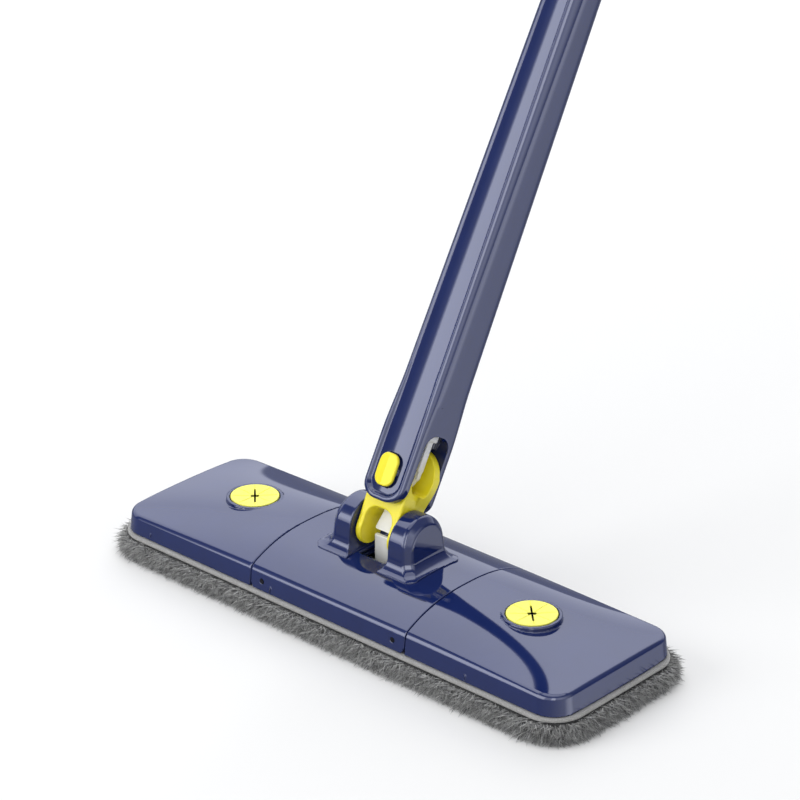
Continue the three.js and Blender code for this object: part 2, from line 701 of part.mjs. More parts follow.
// A round eye on the swivel axis, a wide flat stem and a clamp that grips the pole's plug.
function upperConnector() {
  const thin = EYE_HALF_THICKNESS;
  const clampBottom = SWIVEL_Z + CHEEK_RADIUS + 5;
  const eye = rod("y", EYE_RADIUS, [-thin, thin], [0, SWIVEL_Z], 32);
  return flatBar([STEM_HALF_WIDTH, thin], [STEM_BOTTOM, clampBottom + 1])
    .add(eye)
    .subtract(rod("y", AXLE_BORE, [-5, 5], [0, SWIVEL_Z], 24))
    .add(flatBar([CLAMP_HALF_WIDTH, CONNECTOR_HALF_WIDTH - 0.2], [clampBottom, clampBottom + CLAMP_HEIGHT]))
    .add(rod("z", 3, [clampBottom + CLAMP_HEIGHT - 1, POLE_BOTTOM - GAP - 2], [0, 0], 16));
}

// Half of the swivel axle: facing -1 is the front pin, 1 the back pin.
function swivelPin(facing) {
  const outer = facing < 0 ? BUTTON_SEAT - 0.9 : SLEEVE_HALF_DEPTH - 1.4;
  return rod("y", AXLE_RADIUS, [facing * (CHEEK_INNER + 0.3), facing * outer], [0, SWIVEL_Z], 24);
}

// ---------------------------------------------------------------- sleeve (handle frame)

// Half width, half depth and squareness of the sleeve at a height.
function sleeveSection(z) {
  const toWaist = THREE.MathUtils.smoothstep(z, SHOULDER_START, SHOULDER_END);
  const toTop = THREE.MathUtils.clamp((z - TAPER_START) / (TAPER_END - TAPER_START), 0, 1);
  const waist = THREE.MathUtils.lerp(SLEEVE_HALF_WIDTH, SLEEVE_TOP_RADIUS + WAIST_STEP, toWaist);
  const halfWidth = THREE.MathUtils.lerp(waist, SLEEVE_TOP_RADIUS, toTop);
  const halfDepth = THREE.MathUtils.lerp(SLEEVE_HALF_DEPTH, SLEEVE_TOP_RADIUS, toTop);
  const lowPower = THREE.MathUtils.lerp(FOOT_SQUARENESS, WAIST_SQUARENESS, toWaist);
  const power = THREE.MathUtils.lerp(lowPower, ROUND, toTop ** 0.8);
  return [halfWidth, halfDepth, power];
}

// A coordinate on a unit circle bent towards a square, by the power of a superellipse.
function squared(value, power) {
  return Math.abs(value) < 1e-6 ? 0 : Math.sign(value) * Math.abs(value) ** (2 / power);
}

function sleeveBlank() {
  const height = SLEEVE_TOP - SLEEVE_BOTTOM;
  const shape = new THREE.CylinderGeometry(1, 1, height, 32, 8);
  shape.rotateX(Math.PI / 2);
  shape.translate(0, 0, (SLEEVE_TOP + SLEEVE_BOTTOM) / 2);
  const position = shape.attributes.position;
  for (let i = 0; i < position.count; i += 1) {
    const x = position.getX(i);
    const y = position.getY(i);
    const [halfWidth, halfDepth, power] = sleeveSection(position.getZ(i));
    if (Math.hypot(x, y) > 0.5) {
      position.setX(i, halfWidth * squared(x, power));
      position.setY(i, halfDepth * squared(y, power));
    }
  }
  return solid(shape);
}

function roundedRectangle(halfWidth, [bottom, top], radius) {
  return rounded([
    [-halfWidth, bottom, radius],
    [halfWidth, bottom, radius],
    [halfWidth, top, radius],
    [-halfWidth, top, radius],
  ]);
}

function buttonOutline(clearance) {
  const half = BUTTON_HEIGHT / 2 + clearance;
  const span = [SWIVEL_Z - half, SWIVEL_Z + half];
  return roundedRectangle(BUTTON_WIDTH / 2 + clearance, span, BUTTON_CORNER + clearance);
}

// Round-ended tongues front and back, forked over the link, with a shallow panel down the front.
function sleeve() {
  const tongueHalf = SLEEVE_HALF_WIDTH + 0.5;
  const tongue = rounded([
    [-tongueHalf, SLEEVE_BOTTOM, TONGUE_RADIUS],
    [tongueHalf, SLEEVE_BOTTOM, TONGUE_RADIUS],
    [tongueHalf, SLEEVE_TOP + 1],
    [-tongueHalf, SLEEVE_TOP + 1],
  ]);
  const fork = rounded([
    [-FORK_HALF, 0],
    [FORK_HALF, 0],
    [FORK_HALF, SLEEVE_ARCH_TOP, SLEEVE_ARCH_CORNER],
    [-FORK_HALF, SLEEVE_ARCH_TOP, SLEEVE_ARCH_CORNER],
  ]);
  const panel = rounded([
    [-PANEL_HALF_WIDTH, SLEEVE_BOTTOM + 4, PANEL_CORNER],
    [PANEL_HALF_WIDTH, SLEEVE_BOTTOM + 4, PANEL_CORNER],
    [PANEL_TOP_HALF_WIDTH, PANEL_TOP, PANEL_TOP_HALF_WIDTH - 1],
    [-PANEL_TOP_HALF_WIDTH, PANEL_TOP, PANEL_TOP_HALF_WIDTH - 1],
  ]);
  const through = [-CUT_THROUGH, CUT_THROUGH];
  const recess = prism("y", panel, [-CUT_THROUGH, -SLEEVE_HALF_DEPTH + PANEL_DEPTH]);
  const bore = rod("z", POLE_RADIUS + GAP, [SLEEVE_ARCH_TOP - 8, SLEEVE_TOP + 1], [0, 0], 28);
  let body = sleeveBlank().intersect(prism("y", tongue, through));
  body = body.subtract(prism("x", fork, through)).subtract(bore).subtract(recess);
  body = body.subtract(prism("y", buttonOutline(GAP), [-CUT_THROUGH, -BUTTON_SEAT]));
  body = body.subtract(rod("y", AXLE_BORE, [-BUTTON_SEAT + 0.6, 0], [0, SWIVEL_Z], 24));
  return body.subtract(rod("y", AXLE_BORE, [0, SLEEVE_HALF_DEPTH - 1], [0, SWIVEL_Z], 24));
}

// Two facets meet in an upright crease down the middle of the button.
function button() {
  const inner = -BUTTON_SEAT - GAP - BUTTON_TRAVEL - 0.6;
  const half = BUTTON_WIDTH / 2;
  const facets = rounded([
    [-half, inner],
    [half, inner],
    [half, inner - 1.9],
    [half - 0.9, inner - 2.6],
    [0, inner - 3.2],
    [-half + 0.9, inner - 2.6],
    [-half, inner - 1.9],
  ]);
  const span = [SWIVEL_Z - BUTTON_HEIGHT / 2 - 1, SWIVEL_Z + BUTTON_HEIGHT / 2 + 1];
  return prism("y", buttonOutline(0), [-CUT_THROUGH, -BUTTON_SEAT]).intersect(prism("z", facets, span));
}

// Flat wave spring behind the button, as the ring it fills.
function buttonSpring() {
  const [inner, outer] = [BUTTON_SPRING_INNER, BUTTON_SPRING_OUTER];
  const bottom = BUTTON_SEAT + GAP / 2;
  const top = bottom + BUTTON_SPRING_HEIGHT;
  const ring = turned([[inner, bottom], [outer, bottom], [outer, top], [inner, top], [inner, bottom]], 24);
  return ring.rotate([90, 0, 0]).translate([0, 0, SWIVEL_Z]);
}

// ---------------------------------------------------------------- pole (handle frame)

function tube(radius, wall, [bottom, top], segments = 28) {
  const inner = radius - wall;
  return turned([[inner, bottom], [radius, bottom], [radius, top], [inner, top], [inner, bottom]], segments);
}

// Flanged plug in the pole's lower end, which the clamp's neck meets.
function polePlug() {
  const inner = POLE_RADIUS - POLE_WALL - GAP;
  return turned([
    [0, POLE_BOTTOM - GAP - 1.7],
    [POLE_RADIUS - 0.2, POLE_BOTTOM - GAP - 1.7],
    [POLE_RADIUS - 0.2, POLE_BOTTOM - GAP],
    [inner, POLE_BOTTOM - GAP],
    [inner, POLE_BOTTOM + 22],
    [0, POLE_BOTTOM + 22],
  ]);
}

// Lip ring pressed in the sleeve's mouth, round the pole.
function sleeveBush() {
  const inner = POLE_RADIUS + GAP;
  const outer = SLEEVE_TOP_RADIUS - 0.4;
  const bottom = SLEEVE_TOP + GAP;
  return turned([
    [inner, bottom],
    [outer, bottom],
    [outer, bottom + 3],
    [outer - 1, bottom + 4.5],
    [inner, bottom + 4.5],
    [inner, bottom],
  ], 28);
}

// Twist collar with grip flutes; it squeezes the split bush on the upper tube.
function collar() {
  const step = POLE_TOP + 1;
  let body = turned([
    [POLE_RADIUS + GAP, COLLAR_BOTTOM],
    [COLLAR_RADIUS - 1.5, COLLAR_BOTTOM],
    [COLLAR_RADIUS, COLLAR_BOTTOM + 5],
    [COLLAR_RADIUS, COLLAR_TOP - 14],
    [UPPER_RADIUS + 2.4, COLLAR_TOP],
    [UPPER_RADIUS + GAP, COLLAR_TOP],
    [UPPER_RADIUS + GAP, COLLAR_TOP - 6],
    [POLE_RADIUS + 0.9, COLLAR_TOP - 9],
    [POLE_RADIUS + 0.9, step],
    [POLE_RADIUS + GAP, step - 1.5],
    [POLE_RADIUS + GAP, COLLAR_BOTTOM],
  ], 28);
  const ring = COLLAR_RADIUS + 1;
  for (let i = 0; i < FLUTES; i += 1) {
    const angle = (i / FLUTES) * Math.PI * 2;
    const place = [ring * Math.cos(angle), ring * Math.sin(angle)];
    body = body.subtract(rod("z", FLUTE_RADIUS, [COLLAR_BOTTOM + 8, COLLAR_TOP - 18], place, 8));
  }
  return body;
}

// Split bush between the pole's mouth and the upper tube.
function lockBush() {
  const inner = UPPER_RADIUS + 0.12;
  const [bottom, top] = [POLE_TOP + 1.2, COLLAR_TOP - 9.5];
  const ring = turned([
    [inner, bottom],
    [POLE_RADIUS + 0.6, bottom],
    [POLE_RADIUS + 0.6, top],
    [inner, top],
    [inner, bottom],
  ], 24);
  return ring.subtract(box([-0.8, 0.8], [0, CUT_THROUGH], [bottom - 1, top + 1]));
}

// Grip sleeve, waisted for the hand and closed over the tube's end.
function grip() {
  const inner = UPPER_RADIUS + GAP;
  const ceiling = UPPER_TOP + 4;
  return turned([
    [inner, GRIP_BOTTOM],
    [GRIP_RADIUS - 1.5, GRIP_BOTTOM],
    [GRIP_RADIUS, GRIP_BOTTOM + 4],
    [GRIP_RADIUS - 1.6, GRIP_BOTTOM + 40],
    [GRIP_RADIUS - 1, GRIP_TOP - 55],
    [GRIP_RADIUS + 1, GRIP_TOP - 13],
    [GRIP_RADIUS + 0.3, GRIP_TOP - 5],
    [GRIP_RADIUS - 3, GRIP_TOP - 1],
    [0, GRIP_TOP],
    [0, ceiling],
    [inner, ceiling],
    [inner, GRIP_BOTTOM],
  ], 28);
}

// Flanged plug in the upper tube's end, under the closed grip.
function tubePlug() {
  const inner = UPPER_RADIUS - UPPER_WALL - GAP;
  const flange = UPPER_TOP + GAP;
  return turned([
    [0, UPPER_TOP - TUBE_PLUG_LENGTH],
    [inner, UPPER_TOP - TUBE_PLUG_LENGTH],
    [inner, flange],
    [UPPER_RADIUS, flange],
    [UPPER_RADIUS, flange + 2],
    [0, flange + 2],
  ], 24);
}

// ---------------------------------------------------------------- assembly

const mop = new THREE.Group();
mop.add(piece("centre_cover", centreCover(), NAVY));
mop.add(piece("centre_base", centreBase(), NAVY));
mop.add(piece("centre_pad_backing", centrePad(BACKING_SPREAD, BACKING), GREY_FABRIC));
mop.add(piece("centre_pad_pile", centrePad(PILE_SPREAD, PILE), GREY_FABRIC));
mop.add(piece("lift_bar", liftBar(), WHITE));
mop.add(piece("lift_guide", liftGuide(), NAVY));
mop.add(piece("lower_connector", lowerConnector(), WHITE));
screwPlaces(0).forEach((place, index) => {
  mop.add(piece(`centre_screw_${index + 1}`, screw(place), STEEL));
});

for (const [name, side] of BOTH_SIDES) {
  mop.add(piece(`${name}_wing_cover`, wingCover(side), NAVY));
  mop.add(piece(`${name}_wing_base`, wingBase(side), NAVY));
  mop.add(piece(`${name}_fold_pin`, foldPin(side), STEEL));
  mop.add(piece(`${name}_return_spring`, returnSpring(side), STEEL));
  mop.add(piece(`${name}_gripper_disc`, gripperDisc(side), YELLOW));
  mop.add(piece(`${name}_gripper_ring`, gripperRing(side), NAVY));
  mop.add(piece(`${name}_pad_backing`, wingPad(side, BACKING_SPREAD, BACKING), GREY_FABRIC));
  mop.add(piece(`${name}_pad_pile`, wingPad(side, PILE_SPREAD, PILE), GREY_FABRIC));
  mop.add(piece(`${name}_ear`, ear(side), NAVY));
  mop.add(piece(`${name}_tilt_pin`, tiltPin(side), STEEL));
  screwPlaces(side).forEach((place, index) => {
    mop.add(piece(`${name}_wing_screw_${index + 1}`, screw(place), STEEL));
  });
}

const handle = new THREE.Group();
handle.position.set(0, AXLE_Y, AXLE_Z);
handle.rotation.x = -TILT;
handle.add(piece("joint_link", link(), YELLOW));
handle.add(piece("middle_connector", middleConnector(), WHITE));
handle.add(piece("upper_connector", upperConnector(), WHITE));
handle.add(piece("front_swivel_pin", swivelPin(-1), STEEL));
handle.add(piece("back_swivel_pin", swivelPin(1), STEEL));
handle.add(piece("sleeve", sleeve(), NAVY));
handle.add(piece("sleeve_bush", sleeveBush(), BLACK));
handle.add(piece("release_button", button(), YELLOW));
handle.add(piece("button_spring", buttonSpring(), STEEL));
handle.add(piece("pole_plug", polePlug(), NAVY));
handle.add(piece("pole", tube(POLE_RADIUS, POLE_WALL, [POLE_BOTTOM, POLE_TOP]), ALUMINIUM));
handle.add(piece("twist_collar", collar(), NAVY));
handle.add(piece("lock_bush", lockBush(), WHITE));
handle.add(piece("upper_tube", tube(UPPER_RADIUS, UPPER_WALL, [UPPER_BOTTOM, UPPER_TOP]), ALUMINIUM));
handle.add(piece("grip", grip(), NAVY));
handle.add(piece("tube_plug", tubePlug(), WHITE));
mop.add(handle);

export default mop;
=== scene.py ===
"""Flat mop with a three-panel navy head on a grey plush pad, yellow joint and rag grippers.

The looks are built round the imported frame. Shapes are worked in millimetres, either in the row
frame or, for what leans with the handle, in the handle's own upright frame, and turned into metres
when a mesh is made. Moulded pieces are rounded distance fields turned into meshes.
"""
import json
import math
import bpy
import numpy as np
from mathutils import Matrix, Vector


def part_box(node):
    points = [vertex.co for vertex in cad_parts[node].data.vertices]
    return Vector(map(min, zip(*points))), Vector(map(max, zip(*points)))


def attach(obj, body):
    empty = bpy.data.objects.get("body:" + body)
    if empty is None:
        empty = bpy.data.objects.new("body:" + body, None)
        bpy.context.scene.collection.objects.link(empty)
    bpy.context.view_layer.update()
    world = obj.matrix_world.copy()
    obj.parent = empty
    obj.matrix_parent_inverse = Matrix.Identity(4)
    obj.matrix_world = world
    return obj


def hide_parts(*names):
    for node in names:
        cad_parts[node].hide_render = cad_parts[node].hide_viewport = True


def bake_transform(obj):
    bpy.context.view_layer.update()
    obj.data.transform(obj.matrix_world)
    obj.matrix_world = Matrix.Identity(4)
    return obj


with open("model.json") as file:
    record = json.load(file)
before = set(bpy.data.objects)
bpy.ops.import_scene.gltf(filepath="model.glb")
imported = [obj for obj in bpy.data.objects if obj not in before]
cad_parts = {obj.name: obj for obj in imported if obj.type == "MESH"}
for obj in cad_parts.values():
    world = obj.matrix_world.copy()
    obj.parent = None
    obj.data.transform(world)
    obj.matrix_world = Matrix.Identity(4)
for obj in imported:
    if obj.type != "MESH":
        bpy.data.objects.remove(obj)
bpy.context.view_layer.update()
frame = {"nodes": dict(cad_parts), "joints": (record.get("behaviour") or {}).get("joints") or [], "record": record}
MM = 0.001


def cad(node):
    """Lowest and highest corner of a CAD node, in millimetres."""
    low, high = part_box(node)
    return np.array(low) / MM, np.array(high) / MM


# ------------------------------------------------------------------ places taken from the frame
JOINTS = {joint["name"]: joint for joint in frame["joints"]}
AXLE = np.array(JOINTS["tilt"]["pos_m"]) / MM
SWIVEL = np.array(JOINTS["side_swivel"]["pos_m"]) / MM
SWIVEL_Z = float(np.linalg.norm(SWIVEL - AXLE))
ALONG = (SWIVEL - AXLE) / SWIVEL_Z
BACK = np.cross(ALONG, (1.0, 0.0, 0.0))
HANDLE = Matrix((
    (1.0, BACK[0], ALONG[0], AXLE[0] * MM),
    (0.0, BACK[1], ALONG[1], AXLE[1] * MM),
    (0.0, BACK[2], ALONG[2], AXLE[2] * MM),
    (0.0, 0.0, 0.0, 1.0),
))


def handle_span(node):
    """Lowest and highest place of a CAD node along the handle, in millimetres from the tilt axle."""
    co = np.array([v.co for v in frame["nodes"][node].data.vertices]) / MM
    along = (co - AXLE) @ ALONG
    return float(along.min()), float(along.max())


COVER_LOW, COVER_HIGH = cad("centre_cover")
WING_LOW, WING_HIGH = cad("right_wing_cover")
BACKING_LOW, BACKING_HIGH = cad("right_pad_backing")
DISC_LOW, DISC_HIGH = cad("right_gripper_disc")

SHELL_Z = COVER_LOW[2]
CROWN_Z = COVER_HIGH[2]
WALL_HEIGHT = 11.5
WALL_TOP = SHELL_Z + WALL_HEIGHT
CROWN_HEIGHT = CROWN_Z - WALL_TOP
SEAM = COVER_HIGH[0] + 0.25
WING_START = WING_LOW[0] - 0.25
HEAD_END = WING_HIGH[0]
HALF_WIDTH = COVER_HIGH[1]
CORNER_RADIUS = 15.0
PAD_CORNER = 18.0
WALL = 2.2
DRAFT = 1.3
END_BULGE = 1.2
CROWN_END_LOSS = 0.92
CROWN_ROUNDNESS = 2.5
FOLD_X = JOINTS["right_fold"]["pos_m"][0] / MM
FOLD_Z = JOINTS["right_fold"]["pos_m"][2] / MM
FOLD_SPAN = (0.033, 0.067)
GRIPPER = ((DISC_LOW + DISC_HIGH) / 2)[0]
DISC_RADIUS = (DISC_HIGH[0] - DISC_LOW[0]) / 2
DISC_TOP = DISC_HIGH[2]
LIP_RADIUS = 16.8
LIP_BOTTOM = 26.0
WELL_RADIUS = 12.3
BORE_RADIUS = 2.8


# ------------------------------------------------------------------ distance fields
def cut_round(a, b, radius):
    """What is inside both a and b, with the edge between them rounded."""
    corner = np.hypot(np.maximum(a + radius, 0), np.maximum(b + radius, 0))
    return np.minimum(np.maximum(a, b), -radius) + corner


def join_round(a, b, radius):
    """What is inside a or b, with a fillet between them."""
    corner = np.hypot(np.maximum(radius - a, 0), np.maximum(radius - b, 0))
    return np.maximum(np.minimum(a, b), radius) - corner


def carve(a, tool, radius):
    return cut_round(a, -tool, radius)


def rounded_box(u, v, half_u, half_v, radius):
    """Plane distance to a rounded rectangle."""
    du = np.abs(u) - half_u + radius
    dv = np.abs(v) - half_v + radius
    return np.hypot(np.maximum(du, 0), np.maximum(dv, 0)) + np.minimum(np.maximum(du, dv), 0) - radius


def span(value, low, high):
    return np.maximum(low - value, value - high)


def smoothstep(low, high, value):
    t = np.clip((value - low) / (high - low), 0, 1)
    return t * t * (3 - 2 * t)


def mix(a, b, t):
    return a + (b - a) * t


def slope_of(field, points, reach=0.02):
    slope = np.empty_like(points)
    for axis in range(3):
        nudge = np.zeros(3)
        nudge[axis] = reach
        slope[:, axis] = (field(points + nudge) - field(points - nudge)) / (2 * reach)
    return slope


CORNERS = list(np.ndindex(2, 2, 2))
EDGES = [(np.array(corner), axis) for axis in range(3) for corner in CORNERS if corner[axis] == 0]


def surface_net(field, low, high, step):
    """Vertices, quads and normals of the surface where field is zero, one vertex in each crossed cell."""
    low, high, step = (np.array(value, float) * np.ones(3) for value in (low, high, step))
    counts = np.ceil((high - low) / step).astype(int) + 1
    axes = [low[i] + step[i] * np.arange(counts[i]) for i in range(3)]
    value = np.empty(counts)
    for i, x in enumerate(axes[0]):
        y, z = np.meshgrid(axes[1], axes[2], indexing="ij")
        sheet = np.stack([np.full(y.shape, x), y, z], -1).reshape(-1, 3)
        value[i] = field(sheet).reshape(y.shape)
    cells = counts - 1
    total = np.zeros((*cells, 3))
    hits = np.zeros(cells)
    for corner, axis in EDGES:
        other = corner.copy()
        other[axis] = 1
        first = value[tuple(slice(c, c + n) for c, n in zip(corner, cells))]
        second = value[tuple(slice(c, c + n) for c, n in zip(other, cells))]
        crossed = (first < 0) != (second < 0)
        share = np.where(crossed, first / np.where(crossed, first - second, 1), 0)
        for i in range(3):
            total[..., i] += crossed * corner[i] + (share if i == axis else 0)
        hits += crossed
    mixed = hits > 0
    index = np.full(cells, -1)
    index[mixed] = np.arange(mixed.sum())
    points = low + (np.argwhere(mixed) + total[mixed] / hits[mixed][:, None]) * step
    inside = value < 0
    quads = []
    for axis in range(3):
        u, v = (axis + 1) % 3, (axis + 2) % 3
        pick = [None] * 3
        pick[axis] = slice(0, -1)
        pick[u] = pick[v] = slice(1, -1)
        here = inside[tuple(pick)]
        pick[axis] = slice(1, None)
        there = inside[tuple(pick)]
        for rising in (False, True):
            found = np.argwhere(~here & there if rising else here & ~there)
            ring = []
            for du, dv in ((0, 0), (1, 0), (1, 1), (0, 1)):
                cell = found.copy()
                cell[:, u] += du
                cell[:, v] += dv
                ring.append(index[tuple(cell.T)])
            quads.append(np.stack(ring[::-1] if rising else ring, -1))
    limit = 0.6 * step.min()
    for _ in range(5):
        slope = slope_of(field, points)
        steep = np.maximum((slope ** 2).sum(1), 0.05)
        move = -(field(points) / steep)[:, None] * slope
        length = np.linalg.norm(move, axis=1, keepdims=True)
        points = points + move * np.minimum(1, limit / np.maximum(length, 1e-9))
    slope = slope_of(field, points)
    normals = slope / np.maximum(np.linalg.norm(slope, axis=1, keepdims=True), 1e-9)
    return points, np.concatenate(quads), normals


# ------------------------------------------------------------------ mesh and piece helpers
def piece(name, points, faces, body, material, replaced=(), handle=False, normals=None, soft=None):
    """Makes a smooth mesh from points in millimetres and lets it ride on a body; when soft is given it is only
    left in place, riding on no body.
    """
    data = bpy.data.meshes.new(name)
    data.from_pydata([tuple(p) for p in np.asarray(points) * MM], [], [tuple(map(int, f)) for f in faces])
    data.validate()
    data.polygons.foreach_set("use_smooth", [True] * len(data.polygons))
    if normals is not None:
        data.normals_split_custom_set_from_vertices([tuple(n) for n in normals])
    if handle:
        data.transform(HANDLE)
    data.update()
    obj = bpy.data.objects.new(name, data)
    bpy.context.scene.collection.objects.link(obj)
    data.materials.append(material)
    if soft is None:
        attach(obj, body)
    else:
        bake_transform(obj)
    if replaced:
        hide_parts(*replaced)
    return obj


def moulded(name, field, low, high, step, body, material, replaced=(), handle=False):
    points, quads, normals = surface_net(field, low, high, step)
    return piece(name, points, quads, body, material, replaced, handle, normals)


def turned(name, profile, body, material, replaced=(), segments=96, closed=False, flute=None):
    """A piece turned round the handle's axis from a profile of (radius, height)."""
    rings = []
    for radius, height in profile:
        angle = np.arange(segments) * 2 * np.pi / segments
        reach = radius * np.ones(segments)
        if flute is not None:
            reach = reach - flute(angle, radius, height)
        rings.append(np.stack([reach * np.cos(angle), reach * np.sin(angle), np.full(segments, height)], -1))
    points = np.concatenate(rings)
    faces = []
    count = len(rings)
    for i in range(count if closed else count - 1):
        a, b = i * segments, ((i + 1) % count) * segments
        for j in range(segments):
            k = (j + 1) % segments
            faces.append((a + j, a + k, b + k, b + j))
    if not closed:
        faces.append(tuple(range(segments - 1, -1, -1)))
        faces.append(tuple((count - 1) * segments + j for j in range(segments)))
    obj = piece(name, points, faces, body, material, replaced, handle=True)
    creased(obj)
    return obj


def creased(obj, degrees=40):
    """Keeps hard edges hard while the rest shades smooth."""
    data = obj.data
    data.polygons.foreach_set("use_smooth", [True] * len(data.polygons))
    data.set_sharp_from_angle(angle=math.radians(degrees))


# ------------------------------------------------------------------ materials
def material_base(name):
    material = bpy.data.materials.new(name)
    material.use_nodes = True
    nodes = material.node_tree.nodes
    return material, nodes, material.node_tree.links, nodes["Principled BSDF"]


def noise(nodes, links, scale, detail=3.0, source=None):
    texture = nodes.new("ShaderNodeTexNoise")
    texture.inputs["Scale"].default_value = scale
    texture.inputs["Detail"].default_value = detail
    place = source or nodes.new("ShaderNodeTexCoord").outputs["Object"]
    links.new(place, texture.inputs["Vector"])
    return texture.outputs["Fac"]


def ramp(nodes, links, factor, stops):
    node = nodes.new("ShaderNodeValToRGB")
    elements = node.color_ramp.elements
    while len(elements) < len(stops):
        elements.new(0.5)
    for element, (place, color) in zip(elements, stops):
        element.position = place
        element.color = (*color, 1)
    links.new(factor, node.inputs["Fac"])
    return node.outputs["Color"]


def spread(nodes, links, factor, low, high):
    node = nodes.new("ShaderNodeMapRange")
    node.inputs["To Min"].default_value = low
    node.inputs["To Max"].default_value = high
    links.new(factor, node.inputs["Value"])
    return node.outputs["Result"]


def bump(nodes, links, shader, height, strength, distance):
    node = nodes.new("ShaderNodeBump")
    node.inputs["Strength"].default_value = strength
    node.inputs["Distance"].default_value = distance
    links.new(height, node.inputs["Height"])
    links.new(node.outputs["Normal"], shader.inputs["Normal"])


def shaded(color, factor):
    return tuple(min(1.0, c * factor) for c in color)


def plastic(name, color, roughness, grain=0.015, grain_scale=900, variation=0.06, specular=0.5):
    """Moulded plastic: faint colour mottling, uneven gloss and a fine moulded grain."""
    material, nodes, links, shader = material_base(name)
    mottle = noise(nodes, links, 60, 4)
    links.new(ramp(nodes, links, mottle, [
        (0.3, shaded(color, 1 - variation)),
        (0.7, shaded(color, 1 + variation)),
    ]), shader.inputs["Base Color"])
    links.new(spread(nodes, links, noise(nodes, links, 25, 5), roughness * 0.8, roughness * 1.25),
              shader.inputs["Roughness"])
    shader.inputs["Specular IOR Level"].default_value = specular
    bump(nodes, links, shader, noise(nodes, links, grain_scale, 2), grain, 0.0002)
    return material


def metal(name, color, roughness, streak):
    """Drawn or turned metal with streaks stretched along the handle's height."""
    material, nodes, links, shader = material_base(name)
    mapping = nodes.new("ShaderNodeMapping")
    mapping.inputs["Scale"].default_value = streak
    links.new(nodes.new("ShaderNodeTexCoord").outputs["Object"], mapping.inputs["Vector"])
    streaks = noise(nodes, links, 400, 3, mapping.outputs["Vector"])
    links.new(ramp(nodes, links, streaks, [(0.3, shaded(color, 0.92)), (0.7, shaded(color, 1.05))]),
              shader.inputs["Base Color"])
    links.new(spread(nodes, links, streaks, roughness * 0.8, roughness * 1.3), shader.inputs["Roughness"])
    shader.inputs["Metallic"].default_value = 1.0
    bump(nodes, links, shader, streaks, 0.03, 0.0002)
    return material


def cloth(name, dark, light, scale, strength, weave=False):
    """Fibres or weave: a lit and a shaded tone in fine mottling."""
    material, nodes, links, shader = material_base(name)
    fine = noise(nodes, links, scale, 4)
    links.new(ramp(nodes, links, fine, [(0.32, dark), (0.68, light)]), shader.inputs["Base Color"])
    shader.inputs["Roughness"].default_value = 0.9
    shader.inputs["Sheen Weight"].default_value = 0.25
    shader.inputs["Sheen Roughness"].default_value = 0.5
    height = fine
    if weave:
        wave = nodes.new("ShaderNodeTexWave")
        wave.inputs["Scale"].default_value = 320
        wave.inputs["Distortion"].default_value = 1.5
        links.new(nodes.new("ShaderNodeTexCoord").outputs["Object"], wave.inputs["Vector"])
        height = wave.outputs["Fac"]
    bump(nodes, links, shader, height, strength, 0.0004)
    return material


def math_node(nodes, links, operation, first, second):
    node = nodes.new("ShaderNodeMath")
    node.operation = operation
    for socket, value in zip(node.inputs, (first, second)):
        if isinstance(value, (int, float)):
            socket.default_value = value
        else:
            links.new(value, socket)
    return node.outputs["Value"]


def fibre(name, dark, light):
    """Loose fibres, each with a tone of its own and a little mottling along it."""
    material, nodes, links, shader = material_base(name)
    own = nodes.new("ShaderNodeNewGeometry").outputs["Random Per Island"]
    mottle = noise(nodes, links, 500, 3)
    tone = math_node(nodes, links, "ADD", math_node(nodes, links, "MULTIPLY", own, 0.7),
                     math_node(nodes, links, "MULTIPLY", mottle, 0.3))
    links.new(ramp(nodes, links, tone, [(0.15, dark), (0.85, light)]), shader.inputs["Base Color"])
    shader.inputs["Roughness"].default_value = 0.85
    shader.inputs["Sheen Weight"].default_value = 0.2
    return material


NAVY = plastic("navy_gloss", (0.008, 0.018, 0.098), 0.05, grain=0.004, specular=0.6)
NAVY_MATTE = plastic("navy_satin", (0.012, 0.019, 0.08), 0.38, grain=0.08)
NAVY_GRIP = plastic("navy_grip", (0.014, 0.02, 0.075), 0.6, grain=0.35, grain_scale=1500)
YELLOW = plastic("yellow_plastic", (0.93, 0.80, 0.022), 0.33, grain=0.04)
YELLOW_SOFT = plastic("yellow_soft", (0.98, 0.93, 0.16), 0.5, grain=0.08)
WHITE = plastic("white_nylon", (0.86, 0.86, 0.84), 0.42, grain=0.08)
BLACK = plastic("black_plastic", (0.02, 0.02, 0.022), 0.5, grain=0.1)
DARK_STEEL = metal("dark_steel", (0.03, 0.03, 0.035), 0.4, (1, 1, 0.1))
STEEL = metal("steel", (0.55, 0.56, 0.58), 0.25, (1, 1, 0.1))
ALUMINIUM = metal("aluminium", (0.75, 0.76, 0.78), 0.24, (1, 1, 0.02))
BACKING_CLOTH = cloth("backing_cloth", (0.27, 0.268, 0.26), (0.42, 0.415, 0.40), 1500, 0.3, weave=True)
PILE_CLOTH = fibre("pile_fibre", (0.11, 0.11, 0.108), (0.56, 0.56, 0.55))
# Nearly black tones: painted shade standing in for the shadow deep among the pile's fibres.
PILE_SHADE_CORE = cloth("pile_shade_core", (0.02, 0.02, 0.02), (0.10, 0.10, 0.098), 900, 0.8)

for node_name, node in frame["nodes"].items():
    slot_name = next(s["material_slot"] for s in frame["record"]["subparts"] if s["node"] == node_name)
    node.data.materials.clear()
    node.data.materials.append({
        "navy_gloss": NAVY, "navy_matte": NAVY_MATTE, "navy_grip": NAVY_GRIP, "yellow_gloss": YELLOW,
        "yellow_rubber": YELLOW_SOFT, "white_nylon": WHITE, "black_plastic": BLACK, "steel": STEEL,
        "aluminium": ALUMINIUM, "grey_backing": BACKING_CLOTH, "grey_pile": PILE_CLOTH,
    }[slot_name])
    creased(node, 30)
for side in ("left", "right"):
    frame["nodes"][f"{side}_fold_pin"].data.materials[0] = DARK_STEEL


